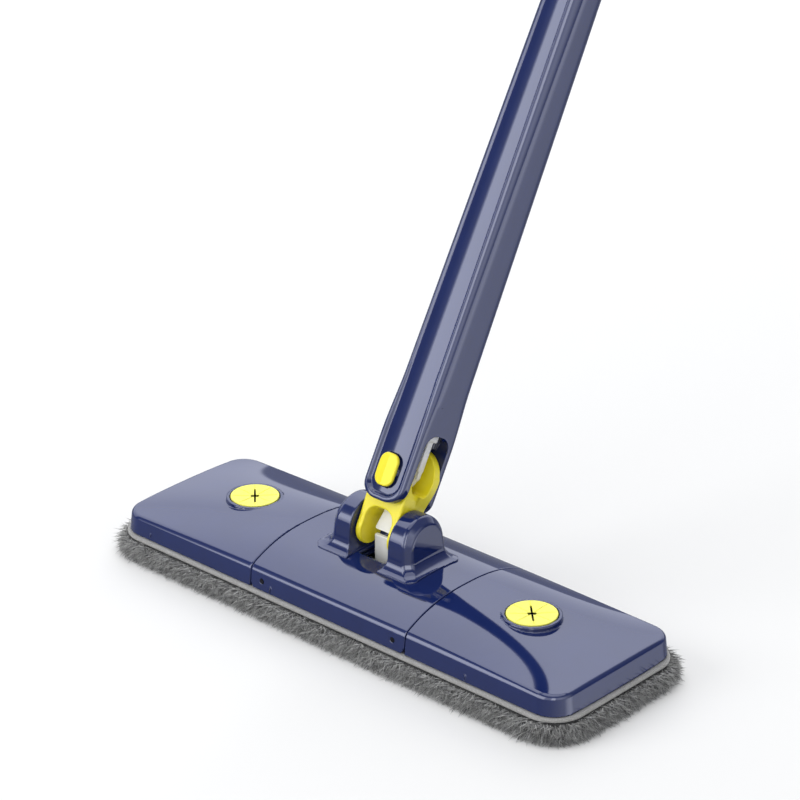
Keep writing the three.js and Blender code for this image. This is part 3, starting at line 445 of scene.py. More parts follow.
# ------------------------------------------------------------------ head shells
def crown(x, y):
    """Height of the pillow-shaped top."""
    along = np.clip((np.abs(x) - WING_START) / (HEAD_END - WING_START), 0, 1)
    across = np.clip(np.abs(y) / HALF_WIDTH, 0, 1)
    rise = CROWN_HEIGHT * np.maximum(0, 1 - CROWN_END_LOSS * along ** 1.5)
    return WALL_TOP + rise * (1 - across ** CROWN_ROUNDNESS)


def shell(points, start, end, wall_radius):
    """A panel's outer form and its hollow, between start and end along the head."""
    x, y, z = np.abs(points[:, 0]), points[:, 1], points[:, 2]
    lean = DRAFT * np.clip((z - SHELL_Z) / (WALL_TOP - SHELL_Z), 0, 1.4)
    top = (z - crown(x, y)) * 0.95
    if wall_radius:
        reach = x + END_BULGE * (y / HALF_WIDTH) ** 2
        du = reach - end + wall_radius
        dv = np.abs(y) - HALF_WIDTH + wall_radius
        side = np.hypot(np.maximum(du, 0), np.maximum(dv, 0)) + np.minimum(np.maximum(du, dv), 0)
        side = side - wall_radius + lean
        seam = start - x
    else:
        side = np.abs(y) - HALF_WIDTH + lean
        seam = x - end
    outer = cut_round(side, top, 2.4)
    outer = cut_round(outer, seam, 0.55)
    outer = cut_round(outer, SHELL_Z - z, 0.4)
    hollow = np.maximum(np.maximum(side + WALL, top + WALL), seam + WALL)
    return carve(outer, hollow, 0.3)


ARM_Y = 30.0
ARM_HALF = 6.0
RIB_PLACES = (-141.0, -43.0, 103.0)
SLOT_CENTRE_Y = -0.5
SLOT_HALF = (10.5, 12.5)
SOCKET_RADIUS = 1.3
SOCKET_DEPTH = 2.2


def with_ribs(body, x, y, z):
    """Small upright ribs on the lower part of the front wall."""
    for place in RIB_PLACES:
        rib = np.maximum(np.abs(x - place) - 0.5, span(z, SHELL_Z + 0.5, SHELL_Z + 4.6))
        rib = np.maximum(rib, span(y, -HALF_WIDTH - 0.3, 2 - HALF_WIDTH))
        body = join_round(body, rib, 0.2)
    return body


def arm_slots(body, x, y, z, top):
    across = np.abs(np.abs(y) - ARM_Y) - ARM_HALF
    slot = np.maximum(np.maximum(across, z - top), span(np.abs(x), FOLD_X + 3, WING_START + 6))
    return carve(body, slot, 0.3)


def centre_field(points):
    x, y, z = points.T
    body = shell(points, 0, SEAM, 0)
    slot = np.maximum(rounded_box(x, y - SLOT_CENTRE_Y, *SLOT_HALF, 2.0), SHELL_Z + 10 - z)
    body = carve(body, slot, 0.7)
    sockets = np.hypot(np.abs(x) - FOLD_X, z - FOLD_Z) - SOCKET_RADIUS
    body = carve(body, np.maximum(sockets, HALF_WIDTH - SOCKET_DEPTH - np.abs(y)), 0.2)
    body = arm_slots(body, x, y, z, FOLD_Z + 4)
    chamfer = (np.abs(x) - (SEAM - 2.2)) * 0.82 - (z - SHELL_Z) * 0.57
    body = cut_round(body, chamfer, 0.3)
    return with_ribs(body, x, y, z)


def wing_field(points):
    x, y, z = points.T
    body = shell(points, WING_START, HEAD_END, CORNER_RADIUS)
    reach = np.hypot(np.abs(x) - GRIPPER, y)
    lip = cut_round(reach - LIP_RADIUS, span(z, LIP_BOTTOM, DISC_TOP - 0.4), 0.7)
    body = join_round(body, lip, 0.35)
    seat = np.maximum(reach - DISC_RADIUS - 0.35, DISC_TOP - 2.3 - z)
    body = carve(body, seat, 0.3)
    body = carve(body, np.maximum(reach - WELL_RADIUS, 20 - z), 0.2)
    body = arm_slots(body, x, y, z, FOLD_Z + 0.5)
    return with_ribs(body, x, y, z)


def make_shells():
    margin = 1.5
    low = (-SEAM - margin, -HALF_WIDTH - margin, SHELL_Z - margin)
    high = (SEAM + margin, HALF_WIDTH + margin, CROWN_Z + margin)
    moulded("centre_shell", centre_field, low, high, (0.9, 0.9, 0.7), "head", NAVY,
            ["centre_cover"])
    for name, side in (("left", -1), ("right", 1)):
        ends = sorted((side * (WING_START - margin), side * (HEAD_END + margin)))
        moulded(f"{name}_wing_shell", wing_field, (ends[0], low[1], low[2]), (ends[1], high[1], high[2]),
                (0.85, 0.85, 0.7), f"{name}_wing", NAVY, [f"{name}_wing_cover"])


# ------------------------------------------------------------------ rag grippers
def disc_field(points):
    """Soft disc with eight score lines and a cross of slits, one long and one short."""
    x, y, z = points.T
    reach = np.hypot(x, y)
    top = DISC_TOP - 0.5 * (1 - smoothstep(0, DISC_RADIUS - 1, reach))
    ring = smoothstep(1.5, 2.5, reach) * (1 - smoothstep(12.6, 13.4, reach))
    for i in range(4):
        angle = math.radians(45 * i)
        off = np.abs(x * math.sin(angle) - y * math.cos(angle))
        top = top - 0.45 * ring * np.exp(-(off / 0.3) ** 2)
    body = cut_round(reach - DISC_RADIUS, np.maximum(z - top, DISC_TOP - 1.9 - z), 0.45)
    for degrees, half_length, half_width in ((135, 8.5, 0.5), (45, 2.3, 1.15)):
        angle = math.radians(degrees)
        along = x * math.cos(angle) + y * math.sin(angle)
        off = x * math.sin(angle) - y * math.cos(angle)
        widening = 0.8 * np.clip(DISC_TOP - 0.7 - z, 0, 2)
        body = carve(body, rounded_box(along, off, half_length, half_width, 0.3) - widening, 0.12)
    return body


def make_grippers():
    for name, side in (("left", -1), ("right", 1)):
        centre = np.array([side * GRIPPER, 0, 0])
        reach = DISC_RADIUS + 0.8
        moulded(f"{name}_gripper", lambda p: disc_field(p - centre),
                centre + (-reach, -reach, DISC_TOP - 2.8), centre + (reach, reach, DISC_TOP + 0.8),
                (0.27, 0.27, 0.27), f"{name}_wing", YELLOW_SOFT, [f"{name}_gripper_disc"])


# ------------------------------------------------------------------ ears
EAR_INNER = cad("right_tilt_pin")[0][0] + 4.5
EAR_THICKNESS = 15.5
EAR_OUTER = EAR_INNER + EAR_THICKNESS
EAR_Y = 0.2
EAR_HALF = 16.7
EAR_TOP = cad("right_ear")[1][2]
FACE_INSET = 4.0
FRONT_FLARE = 5.5
BACK_FLARE = 4.0
SIDE_FLARE = 6.5
INNER_FLARE = 3.0


def ear_field(points):
    """Round-topped ear: a chamfer frames its flat outer face and a thin foot flares on the pillow."""
    x, y, z = np.abs(points[:, 0]), points[:, 1] - EAR_Y, points[:, 2]
    above = z - crown(points[:, 0], points[:, 1])
    foot = 1 - np.clip((above - 0.7) / 6.5, 0, 1)
    flare = 1 - np.sqrt(1 - foot ** 2 * 0.999)
    centre = EAR_TOP - EAR_HALF
    over = np.maximum(z - centre, 0)
    lean = 0.045 * np.maximum(centre - z, 0)
    front = np.hypot(np.maximum(-y, 0), over) - EAR_HALF - lean - FRONT_FLARE * flare
    back = np.hypot(np.maximum(y, 0), over) - EAR_HALF - lean - BACK_FLARE * flare
    round_side = np.maximum(front, back)
    outer = x - EAR_OUTER - 0.1 * (EAR_TOP - 17 - z) - SIDE_FLARE * flare
    inner = EAR_INNER - INNER_FLARE * flare - x
    body = np.maximum(round_side, outer)
    bevel = (round_side + outer + FACE_INSET) * math.sqrt(0.5)
    body = cut_round(body, bevel, 0.9)
    body = cut_round(body, inner, 0.8)
    body = cut_round(body, -above - 1.2, 0.2)
    bore = np.maximum(np.hypot(y + EAR_Y - AXLE[1], z - AXLE[2]) - BORE_RADIUS, x - EAR_OUTER + 4)
    return carve(body, bore, 0.3)


def make_ears():
    for name, side in (("left", -1), ("right", 1)):
        ends = sorted((side * (EAR_INNER - 5), side * (EAR_OUTER + 9)))
        low, high = (ends[0], -30, SHELL_Z + 16), (ends[1], 24, EAR_TOP + 1.5)
        moulded(f"{name}_ear_moulding", ear_field, low, high, (0.45, 0.5, 0.45), "head", NAVY,
                [f"{name}_ear"])


# ------------------------------------------------------------------ joint link, in the handle frame
LEG_INNER = 9.8
LEG_OUTER = 14.0
LEG_RADIUS = 9.6
LINK_DEPTH = 10.5
CHEEK_RADIUS = 17.0
CHEEK_INNER = 4.6
FRONT_CHEEK_RADIUS = 10.0
FRONT_TAPER_BOTTOM = 23.0
ARCH_TOP = 13.0
SLOT_FLOOR = 26.0
PASSAGE_HALF = 7.4
STRAP_FOOT_HALF = 6.4
STRAP_TOP_HALF = 4.4
STRAP_HALF_THICKNESS = 1.4
EYE_RADIUS = 8.6
EYE_HALF_THICKNESS = 1.6
STEM_HALF = 10.0
CLAMP_HALF = 11.2
LIFT_STRAP_HALF = 6.6


def link_field(points):
    """Forked legs below, a small round cheek in front, a larger one behind, and the strap's passage."""
    x, y, z = points.T
    depth = mix(LEG_RADIUS, LINK_DEPTH, smoothstep(3, 20, z))
    side = np.where(z > 0, np.abs(y) - depth, np.hypot(y, z) - LEG_RADIUS)
    back_face = join_round(np.maximum(np.abs(x) - LEG_OUTER, z - SWIVEL_Z),
                           np.hypot(x, z - SWIVEL_Z) - CHEEK_RADIUS, 5)
    share = np.clip((z - FRONT_TAPER_BOTTOM) / (SWIVEL_Z - 1 - FRONT_TAPER_BOTTOM), 0, 1)
    taper = mix(LEG_OUTER, FRONT_CHEEK_RADIUS, share)
    front_face = join_round(np.maximum(np.abs(x) - taper, z - SWIVEL_Z),
                            np.hypot(x, z - SWIVEL_Z) - FRONT_CHEEK_RADIUS, 1)
    face = np.where(y < 0, front_face, back_face)
    body = cut_round(side, face, 1.3)
    arch = rounded_box(x, z - ARCH_TOP + 30, LEG_INNER, 30, 7.5)
    body = carve(body, arch, 0.9)
    slot = rounded_box(y, z - SLOT_FLOOR - 30, CHEEK_INNER, 30, 2.5)
    body = carve(body, slot, 0.7)
    passage = np.maximum(rounded_box(x, y, PASSAGE_HALF, CHEEK_INNER, 1.2), span(z, ARCH_TOP - 4, 29))
    body = carve(body, passage, 0.4)
    axle_bore = np.maximum(np.hypot(y, z) - BORE_RADIUS, LEG_INNER + 1 - np.abs(x))
    body = carve(body, axle_bore, 0.3)
    return carve(body, np.hypot(x, z - SWIVEL_Z) - BORE_RADIUS, 0.3)


def bar_field(points, centre, half, radius):
    """A box with soft edges."""
    offset = np.abs(points - centre) - half + radius
    outside = np.linalg.norm(np.maximum(offset, 0), axis=1)
    return outside + np.minimum(offset.max(1), 0) - radius


def make_joint():
    moulded("link_moulding", link_field, (-18.5, -12, -10), (18.5, 12, SWIVEL_Z + CHEEK_RADIUS + 1.5), 0.5,
            "link", YELLOW, ["joint_link"], handle=True)
    low, high = cad("lower_connector")
    low[0], high[0] = max(low[0], -LIFT_STRAP_HALF), min(high[0], LIFT_STRAP_HALF)
    centre, half = (low + high) / 2, (high - low) / 2
    moulded("lift_strap", lambda points: bar_field(points, centre, half, 0.7), low - 1, high + 1, 0.35,
            "lift", WHITE, ["lower_connector"])
    moulded("middle_strap", middle_strap_field, (-8, -5, -0.5), (8, 5, 34), 0.35,
            "link_connector", WHITE, ["middle_connector"], handle=True)
    moulded("upper_strap", upper_strap_field, (-12.5, -5.5, 25.5), (12.5, 5.5, 77), 0.45,
            "pole", WHITE, ["upper_connector"], handle=True)


def middle_strap_field(points):
    """A strap that widens to its foot, with two prongs at its top for the stem's eye."""
    x, y, z = points.T
    half = mix(STRAP_FOOT_HALF, STRAP_TOP_HALF, np.clip((z - 2) / 10, 0, 1))
    outline = cut_round(np.abs(x) - half, span(z, 0.6, 19), 1.0)
    strap = np.maximum(outline, np.abs(y) - STRAP_HALF_THICKNESS)
    prongs = rounded_box(x, y, 1.8, 4.0, 0.5)
    prongs = np.maximum(prongs, span(z, 17, SWIVEL_Z - 2.2))
    prongs = np.maximum(prongs, np.minimum(1.9 - np.abs(y), z - SWIVEL_Z + 9.3))
    return join_round(strap, prongs, 0.4)


def upper_strap_field(points):
    """A round eye, a wide flat stem with ribbed edges and a clamp that takes the pole's plug."""
    x, y, z = points.T
    stem = np.maximum(rounded_box(x, z - 46, STEM_HALF, 12.5, 2.0), np.abs(y) - EYE_HALF_THICKNESS)
    rib = rounded_box(np.abs(x) - STEM_HALF + 1, z - 48, 0.9, 9, 0.6)
    rib = np.maximum(rib, np.abs(y) - EYE_HALF_THICKNESS - 0.7)
    eye = np.maximum(np.hypot(x, z - SWIVEL_Z) - EYE_RADIUS, np.abs(y) - EYE_HALF_THICKNESS)
    body = join_round(join_round(stem, eye, 0.6), rib, 0.4)
    clamp = rounded_box(x, z - 61.4, CLAMP_HALF, 4.5, 1.2)
    body = join_round(body, cut_round(clamp, np.abs(y) - 4, 0.6), 0.5)
    body = join_round(body, np.maximum(np.hypot(x, y) - 3, span(z, 64, 75.5)), 0.4)
    return carve(body, np.hypot(x, z - SWIVEL_Z) - 2.6, 0.3)


# ------------------------------------------------------------------ sleeve and button
SLEEVE_BOTTOM = 15.0
SLEEVE_TOP = handle_span("sleeve")[1]
SLEEVE_RADIUS = 14.7
SLEEVE_HALF_WIDTH = 15.6
SLEEVE_HALF_DEPTH = 16.9
FORK_HALF = 10.8
FORK_TOP = 61.0
SHOULDER = (50.0, 92.0)
TAPER_START = 60.0
TAPER_LENGTH = 255.0
TONGUE_HALF_LENGTH = 60.0
POLE_BORE = 12.8
BUTTON_SEAT = 13.9
BUTTON_HALF = (6.6, 9.5)
PANEL_FOOT_HALF = 10.4
PANEL_HEAD_HALF = 7.6
PANEL_TOP = 400.0
PANEL_DEPTH = 1.6
LOFT_START = 96.0


def sleeve_section(z):
    """Half width, half depth and squareness of the sleeve at a height."""
    to_waist = smoothstep(*SHOULDER, z)
    to_top = np.clip((z - TAPER_START) / TAPER_LENGTH, 0, 1)
    half_width = mix(mix(SLEEVE_HALF_WIDTH, SLEEVE_RADIUS + 0.9, to_waist), SLEEVE_RADIUS, to_top)
    half_depth = mix(SLEEVE_HALF_DEPTH, SLEEVE_RADIUS, to_top)
    power = mix(mix(7, 4.4, to_waist), 2.7, to_top ** 0.8)
    return half_width, half_depth, power


def sleeve_blank(x, y, z):
    """Distance to the sleeve before its panel, fork and seat are cut."""
    half_width, half_depth, power = sleeve_section(z)
    ratio = (np.abs(x / half_width) ** power + np.abs(y / half_depth) ** power) ** (1 / power)
    return (ratio - 1) * (half_width + half_depth) / 2


def panel_half(z):
    """Half width of the recessed panel, which narrows upwards."""
    return mix(PANEL_FOOT_HALF, PANEL_HEAD_HALF, np.clip((z - 40) / 270, 0, 1))


def panel_floor(x, z):
    """How far in front of the axis the recessed panel lies: slightly crowned, fading out high up."""
    fade = smoothstep(325, PANEL_TOP, z)
    return sleeve_section(z)[1] - PANEL_DEPTH * (1 - fade) + 0.4 * fade - 0.006 * x ** 2


def sleeve_field(points):
    """Round-ended tongues forked over the link, with a recessed panel down the front and a button seat."""
    x, y, z = points.T
    blank = sleeve_blank(x, y, z)
    lowest = np.where(y < 0, SLEEVE_BOTTOM + 2.2, SLEEVE_BOTTOM)
    middle = lowest + TONGUE_HALF_LENGTH
    tongue = rounded_box(x, z - middle, SLEEVE_HALF_WIDTH + 0.5, TONGUE_HALF_LENGTH, 13)
    tongue = np.where(z > middle, -5, tongue)
    body = cut_round(blank, tongue, 1.6)
    body = cut_round(body, z - SLEEVE_TOP, 0.8)
    depth = -y - panel_floor(x, z)
    middle = (PANEL_TOP + SLEEVE_BOTTOM + 6.5) / 2
    panel = rounded_box(x, z - middle, panel_half(z), PANEL_TOP - middle, 7.5) - 0.85 * np.maximum(depth, 0)
    recess = cut_round(panel, -depth, 0.35)
    body = carve(body, recess, 0.45)
    fork = rounded_box(y, z - FORK_TOP + 40, FORK_HALF, 40, 9)
    body = carve(body, fork, 0.8)
    body = carve(body, np.maximum(np.hypot(x, y) - POLE_BORE, FORK_TOP - 8 - z), 0.3)
    button = rounded_box(x, z - SWIVEL_Z, BUTTON_HALF[0] + 0.3, BUTTON_HALF[1] + 0.35, 5.5)
    return carve(body, np.maximum(button, y + BUTTON_SEAT), 0.35)


def button_field(points):
    """Two facets meet in an upright crease down the middle of the button."""
    x, y, z = points.T
    outline = rounded_box(x, z - SWIVEL_Z, *BUTTON_HALF, 5.2)
    crest = 19.3 - 0.16 * np.abs(x) - 0.005 * (z - SWIVEL_Z) ** 2
    return cut_round(outline, np.maximum(-y - crest, y + 15.95), 0.9)


def section_angles(z):
    """Angles round one section from the panel's middle, packed closely over the panel's edge."""
    half = panel_half(z)
    rim = np.arctan2(half + 0.45, panel_floor(half, z) + 0.5)
    near = 0.075
    angles = np.concatenate([
        np.linspace(0, rim - near, 10)[:-1],
        np.linspace(rim - near, rim + near, 22)[:-1],
        np.linspace(rim + near, np.pi, 48),
    ])
    return np.concatenate([angles, -angles[-2:0:-1]])


def sleeve_loft():
    """The sleeve above its fork, drawn through sections whose points follow the panel's edges."""
    top = SLEEVE_TOP - 0.02
    levels = np.concatenate([
        np.linspace(LOFT_START - 0.3, SLEEVE_TOP - 1, 150),
        np.linspace(SLEEVE_TOP - 0.8, top, 5),
    ])
    angles = np.array([section_angles(z) for z in levels])
    height = np.repeat(levels[:, None], angles.shape[1], 1)
    inside, outside = np.full(angles.shape, POLE_BORE + 0.1), np.full(angles.shape, 24.0)
    for _ in range(26):
        reach = (inside + outside) / 2
        points = np.stack([reach * np.sin(angles), -reach * np.cos(angles), height], -1).reshape(-1, 3)
        within = (sleeve_field(points) < 0).reshape(angles.shape)
        inside, outside = np.where(within, reach, inside), np.where(within, outside, reach)
    normals = slope_of(sleeve_field, points, 0.01)
    rings, count = angles.shape
    bore = []
    across, back = POLE_BORE * np.sin(angles[-1]), -POLE_BORE * np.cos(angles[-1])
    for z in (top, LOFT_START):
        bore.append(np.stack([across, back, np.full(count, z)], -1))
    inward = -np.concatenate(bore) * (1, 1, 0)
    points, normals = np.concatenate([points, *bore]), np.concatenate([normals, inward])
    faces = []
    for i in range(rings + 1):
        for j in range(count):
            k = (j + 1) % count
            faces.append((i * count + j, i * count + k, (i + 1) * count + k, (i + 1) * count + j))
    return points, np.array(faces), normals / np.linalg.norm(normals, axis=1, keepdims=True)


def make_sleeve():
    low = (-SLEEVE_HALF_WIDTH - 1, -SLEEVE_HALF_DEPTH - 1, SLEEVE_BOTTOM - 1.5)
    high = (SLEEVE_HALF_WIDTH + 1, SLEEVE_HALF_DEPTH + 1, LOFT_START + 1.5)
    points, quads, normals = surface_net(sleeve_field, low, high, (0.5, 0.5, 0.5))
    quads = quads[(points[quads][:, :, 2] < LOFT_START).all(1)]
    loft_points, loft_faces, loft_normals = sleeve_loft()
    faces = np.concatenate([quads, loft_faces + len(points)])
    points = np.concatenate([points, loft_points])
    normals = np.concatenate([normals, loft_normals])
    piece("sleeve_moulding", points, faces, "sleeve", NAVY, ["sleeve"], True, normals)
    moulded("button_cap", button_field, (-8, -20.5, SWIVEL_Z - 10.6), (8, -15, SWIVEL_Z + 10.6), 0.3,
            "button", YELLOW, ["release_button"], handle=True)


# ------------------------------------------------------------------ pole, collar, grip
POLE_RADIUS = 12.5
POLE_WALL = 1.0
UPPER_RADIUS = 11.0
UPPER_WALL = 0.9
TUBE_CHAMFER = 0.2
COLLAR_RADIUS = 16.0
COLLAR_SEAT = 13.4
FLUTE_DEPTH = 0.9
FLUTE_PAIRS = 8
GRIP_BORE = 11.3
GRIP_RIBS = 22
RIB_PITCH = 5.0
RIB_RISE = 0.5


def make_tubes():
    low, high = handle_span("pole")
    inner, eased = POLE_RADIUS - POLE_WALL, POLE_RADIUS - TUBE_CHAMFER
    profile = [(inner, low), (eased, low), (POLE_RADIUS, low + 0.3)]
    profile += [(POLE_RADIUS, high - 0.3), (eased, high), (inner, high)]
    turned("pole_tube", profile, "pole", ALUMINIUM, ["pole"], closed=True)
    low, high = handle_span("upper_tube")
    inner, eased = UPPER_RADIUS - UPPER_WALL, UPPER_RADIUS - TUBE_CHAMFER
    profile = [(inner, low), (eased, low), (UPPER_RADIUS, low + 0.3), (UPPER_RADIUS, high), (inner, high)]
    turned("upper_pole_tube", profile, "upper_pole", ALUMINIUM, ["upper_tube"], closed=True)
    low, high = handle_span("sleeve_bush")
    profile = [(POLE_BORE, low), (14.6, low), (14.8, low + 0.4)]
    profile += [(14.7, low + 2.8), (13.9, high), (POLE_BORE, high)]
    turned("bush_ring", profile, "sleeve", BLACK, ["sleeve_bush"], closed=True)


def make_collar():
    """Twist collar: a short lead-in, a fluted barrel and a cone that closes on the upper tube."""
    low, high = handle_span("twist_collar")

    def flute(angle, radius, height):
        inside = (low + 8 < height < high - 17) and radius > 14
        return FLUTE_DEPTH * np.abs(np.cos(angle * FLUTE_PAIRS)) ** 6 if inside else 0 * angle

    seat = handle_span("pole")[1] + 1
    profile = [(POLE_BORE, low), (14.3, low), (15.1, low + 1.2), (COLLAR_RADIUS, low + 5)]
    profile += [(COLLAR_RADIUS, height) for height in np.linspace(low + 7, high - 16, 9)]
    profile += [(15.9, high - 13.5), (13.9, high - 2), (13.0, high), (GRIP_BORE, high)]
    profile += [(GRIP_BORE, high - 6), (COLLAR_SEAT, high - 9), (COLLAR_SEAT, seat), (POLE_BORE, seat - 1.5)]
    turned("collar_moulding", profile, "collar", NAVY_MATTE, ["twist_collar"],
           segments=192, closed=True, flute=flute)


def make_grip():
    """Ribbed soft grip with a domed end that closes over the tube."""
    low, high = handle_span("grip")
    profile = [(GRIP_BORE, low), (13.2, low), (14.4, low + 1.5), (15, low + 4), (14.7, low + 9)]
    for i in range(GRIP_RIBS):
        height = low + 14 + i * RIB_PITCH
        body = 13.7 + 0.9 * (i / GRIP_RIBS) ** 2
        crest = body + RIB_RISE
        profile += [(body, height), (crest, height + 0.9), (crest, height + 2.6), (body, height + 3.5)]
    profile += [(14.6, high - 48), (14.2, high - 30), (14.6, high - 16), (15.5, high - 8), (15.5, high - 5)]
    profile += [(15.0, high - 3), (13.6, high - 1.2), (11.2, high - 0.3), (8.6, high), (6, high - 0.9)]
    profile += [(0.4, high - 1.1), (0.4, high - 3.6), (GRIP_BORE, high - 3.6)]
    turned("grip_moulding", profile, "upper_pole", NAVY_GRIP, ["grip"], closed=True)


# ------------------------------------------------------------------ pad
PAD_COLUMNS = 420


def pad_outline(spread, count, half):
    """Evenly spaced points and outward normals round one half of the pad, from its middle cut."""
    x_end, y_end = HEAD_END + spread, HALF_WIDTH + spread
    radius = PAD_CORNER + spread
    straight = x_end - radius
    end = 2 * (y_end - radius)
    arc = radius * math.pi / 2
    total = 2 * straight + 2 * arc + end
    places = np.linspace(0, total, count)
    points, normals = np.zeros((count, 2)), np.zeros((count, 2))
    for i, s in enumerate(places):
        if s <= straight:
            p, n = (s, -y_end), (0, -1)
        elif s <= straight + arc:
            a = (s - straight) / radius
            n = (math.sin(a), -math.cos(a))
            p = (straight + radius * n[0], -y_end + radius + radius * n[1])
        elif s <= straight + arc + end:
            p, n = (x_end, -y_end + radius + s - straight - arc), (1, 0)
        elif s <= straight + 2 * arc + end:
            a = (s - straight - arc - end) / radius
            n = (math.cos(a), math.sin(a))
            p = (straight + radius * n[0], y_end - radius + radius * n[1])
        else:
            p, n = (total - s, y_end), (0, 1)
        points[i], normals[i] = p, n
    return points * (half, 1), normals * (half, 1)


def pad_solid(name, half, profile, middle_steps, material, replaced, ripple=None):
    """One half of a pad layer: side profile (spread, z) swept round, closed over the top and bottom."""
    count = PAD_COLUMNS
    outlines = [pad_outline(spread, count, half)[0] for spread, _ in profile]
    columns = [np.column_stack([o, np.full(count, z)]) for o, (_, z) in zip(outlines, profile)]
    for end_index, order in ((0, -1), (-1, 1)):
        ring = columns[end_index]
        rows = []
        for step in range(1, middle_steps + 1):
            t = step / middle_steps
            flat = ring.copy()
            flat[:, 1] *= 1 - t
            rows.append(flat)
        columns = (rows[::-1] + columns) if order < 0 else (columns + rows)
    grid = np.array(columns)
    if ripple is not None:
        grid = ripple(grid)
    rows, cols = grid.shape[:2]
    faces = []
    for i in range(rows - 1):
        for j in range(cols - 1):
            quad = (i * cols + j, i * cols + j + 1, (i + 1) * cols + j + 1, (i + 1) * cols + j)
            faces.append(quad if half < 0 else quad[::-1])
    body = "left_wing" if half < 0 else "right_wing"
    z = float(np.mean([p[1] for p in profile])) * MM
    soft = ("head", body, (half * FOLD_SPAN[0], 0, z), (half * FOLD_SPAN[1], 0, z))
    return piece(name, grid.reshape(-1, 3), faces, body, material, replaced, soft=soft)


def strands(rng, roots, directions, lengths, widths, droop):
    """Tapered three-sided fibres: each leaves its root, bends down and ends in a point."""
    count = len(roots)
    side = np.cross(directions, rng.normal(size=(count, 3)))
    side /= np.linalg.norm(side, axis=1, keepdims=True)
    other = np.cross(directions, side)
    points, faces = [], []
    levels = ((0.0, 1.0), (0.5, 0.8))
    sway = rng.normal(scale=0.14, size=(count, 3))
    bend = sway + droop
    for share, width in levels:
        centre = roots + directions * (lengths * share)[:, None] + bend * (lengths * share ** 2)[:, None]
        for k in range(3):
            angle = 2 * math.pi * k / 3
            offset = side * math.cos(angle) + other * math.sin(angle)
            points.append(centre + offset * (widths * width)[:, None])
    tip = roots + directions * lengths[:, None] + bend * lengths[:, None]
    points.append(tip)
    stack = np.stack(points, 1)
    base = np.arange(count)[:, None] * 7
    pattern = [(0, 1, 4, 3), (1, 2, 5, 4), (2, 0, 3, 5), (3, 4, 6), (4, 5, 6), (5, 3, 6), (2, 1, 0)]
    for quad in pattern:
        faces.extend((base + np.array(quad)).tolist())
    return stack.reshape(-1, 3), faces


FLOOR_CLEAR = 0.35
FIBRES = 14000
PILE_MIDDLE = 0.006


def make_backing(name, half):
    """The thin woven strip between the head and the pile."""
    low, high = BACKING_LOW[2], BACKING_HIGH[2]
    profile = [(0.4, low + 0.2), (1.3, low + 0.3), (2.0, low + 0.8), (2.1, low + 1.4)]
    profile += [(1.7, high - 0.5), (0.8, high), (0.2, high)]
    replaced = [f"{name}_pad_backing"] + (["centre_pad_backing"] if half > 0 else [])
    backing = pad_solid(f"{name}_backing", half, profile, 3, BACKING_CLOTH, replaced)


def make_pile_shade_core(name, half, rng):
    """The dense body of the pile, with a rippled side and underside, coloured nearly black as painted shade for
    the shadow among the fibres.
    """
    def ripple(grid):
        uneven = rng.normal(size=grid.shape[:2])
        grid[:, :, 2] += 0.35 * uneven * (grid[:, :, 2] < BACKING_LOW[2] - 1)
        return grid

    profile = [(-1, 1.2), (2.0, 1.6), (4.2, 3.0), (4.6, 5.5), (3.4, 8.5), (1.5, 10.6), (-1, 11.2)]
    replaced = [f"{name}_pad_pile"] + (["centre_pad_pile"] if half > 0 else [])
    pile = pad_solid(f"{name}_pile_shade_core", half, profile, 46, PILE_SHADE_CORE, replaced, ripple)


def make_fibres(name, half, rng):
    """Separate fibres all round one half's side, leaning outwards and mostly down."""
    places, normals = pad_outline(0.0, 4000, half)
    pick = rng.integers(0, len(places), FIBRES)
    level = rng.random(FIBRES) ** 0.8
    outward = np.column_stack([normals[pick], np.zeros(FIBRES)])
    tangent = np.column_stack([-normals[pick][:, 1], normals[pick][:, 0], np.zeros(FIBRES)])
    reach = 3.5 * rng.random(FIBRES) - 0.4
    roots = np.column_stack([places[pick], np.zeros(FIBRES)]) + outward * reach[:, None]
    roots[:, 2] = 2.5 + 8.2 * level
    lift = -1.1 + 1.5 * rng.random(FIBRES)
    directions = outward + tangent * rng.normal(scale=0.85, size=(FIBRES, 1))
    directions[:, 2] = lift
    directions /= np.linalg.norm(directions, axis=1, keepdims=True)
    lengths = 4.4 + 4.6 * rng.random(FIBRES)
    widths = 0.26 + 0.14 * rng.random(FIBRES)
    droop = np.array([0, 0, -0.12])
    points, faces = strands(rng, roots, directions, lengths, widths, droop)
    points[:, 2] = np.maximum(points[:, 2], FLOOR_CLEAR)
    body = f"{name}_wing"
    soft = ("head", body, (half * FOLD_SPAN[0], 0, PILE_MIDDLE), (half * FOLD_SPAN[1], 0, PILE_MIDDLE))
    piece(f"{name}_pile", points, faces, body, PILE_CLOTH, soft=soft)


def make_pad():
    rng = np.random.default_rng(7)
    for name, half in (("left", -1), ("right", 1)):
        make_backing(name, half)
        make_pile_shade_core(name, half, rng)
        make_fibres(name, half, rng)


# ------------------------------------------------------------------ camera, light, floor
FLOOR_HALF = 60.0
ROOM_COLOR = (0.86, 0.87, 0.885, 1)
ROOM_LIGHT = 0.62
MIRRORED_COLOR = (0.87, 0.90, 1.03, 1)
WALL_LIGHT = [(0.0, 0.3), (0.115, 0.35), (0.13, 1.55), (0.42, 1.9), (0.70, 3.2), (0.862, 3.5), (0.87, 1.3)]
STRIP_LIGHT = [(0.0, 2.5), (0.2, 6.0), (0.62, 6.0), (0.75, 1.0), (0.85, 0.0)]
TOP_LIGHT = [(0.905, 0.0), (0.913, 2.4), (1.0, 2.4)]


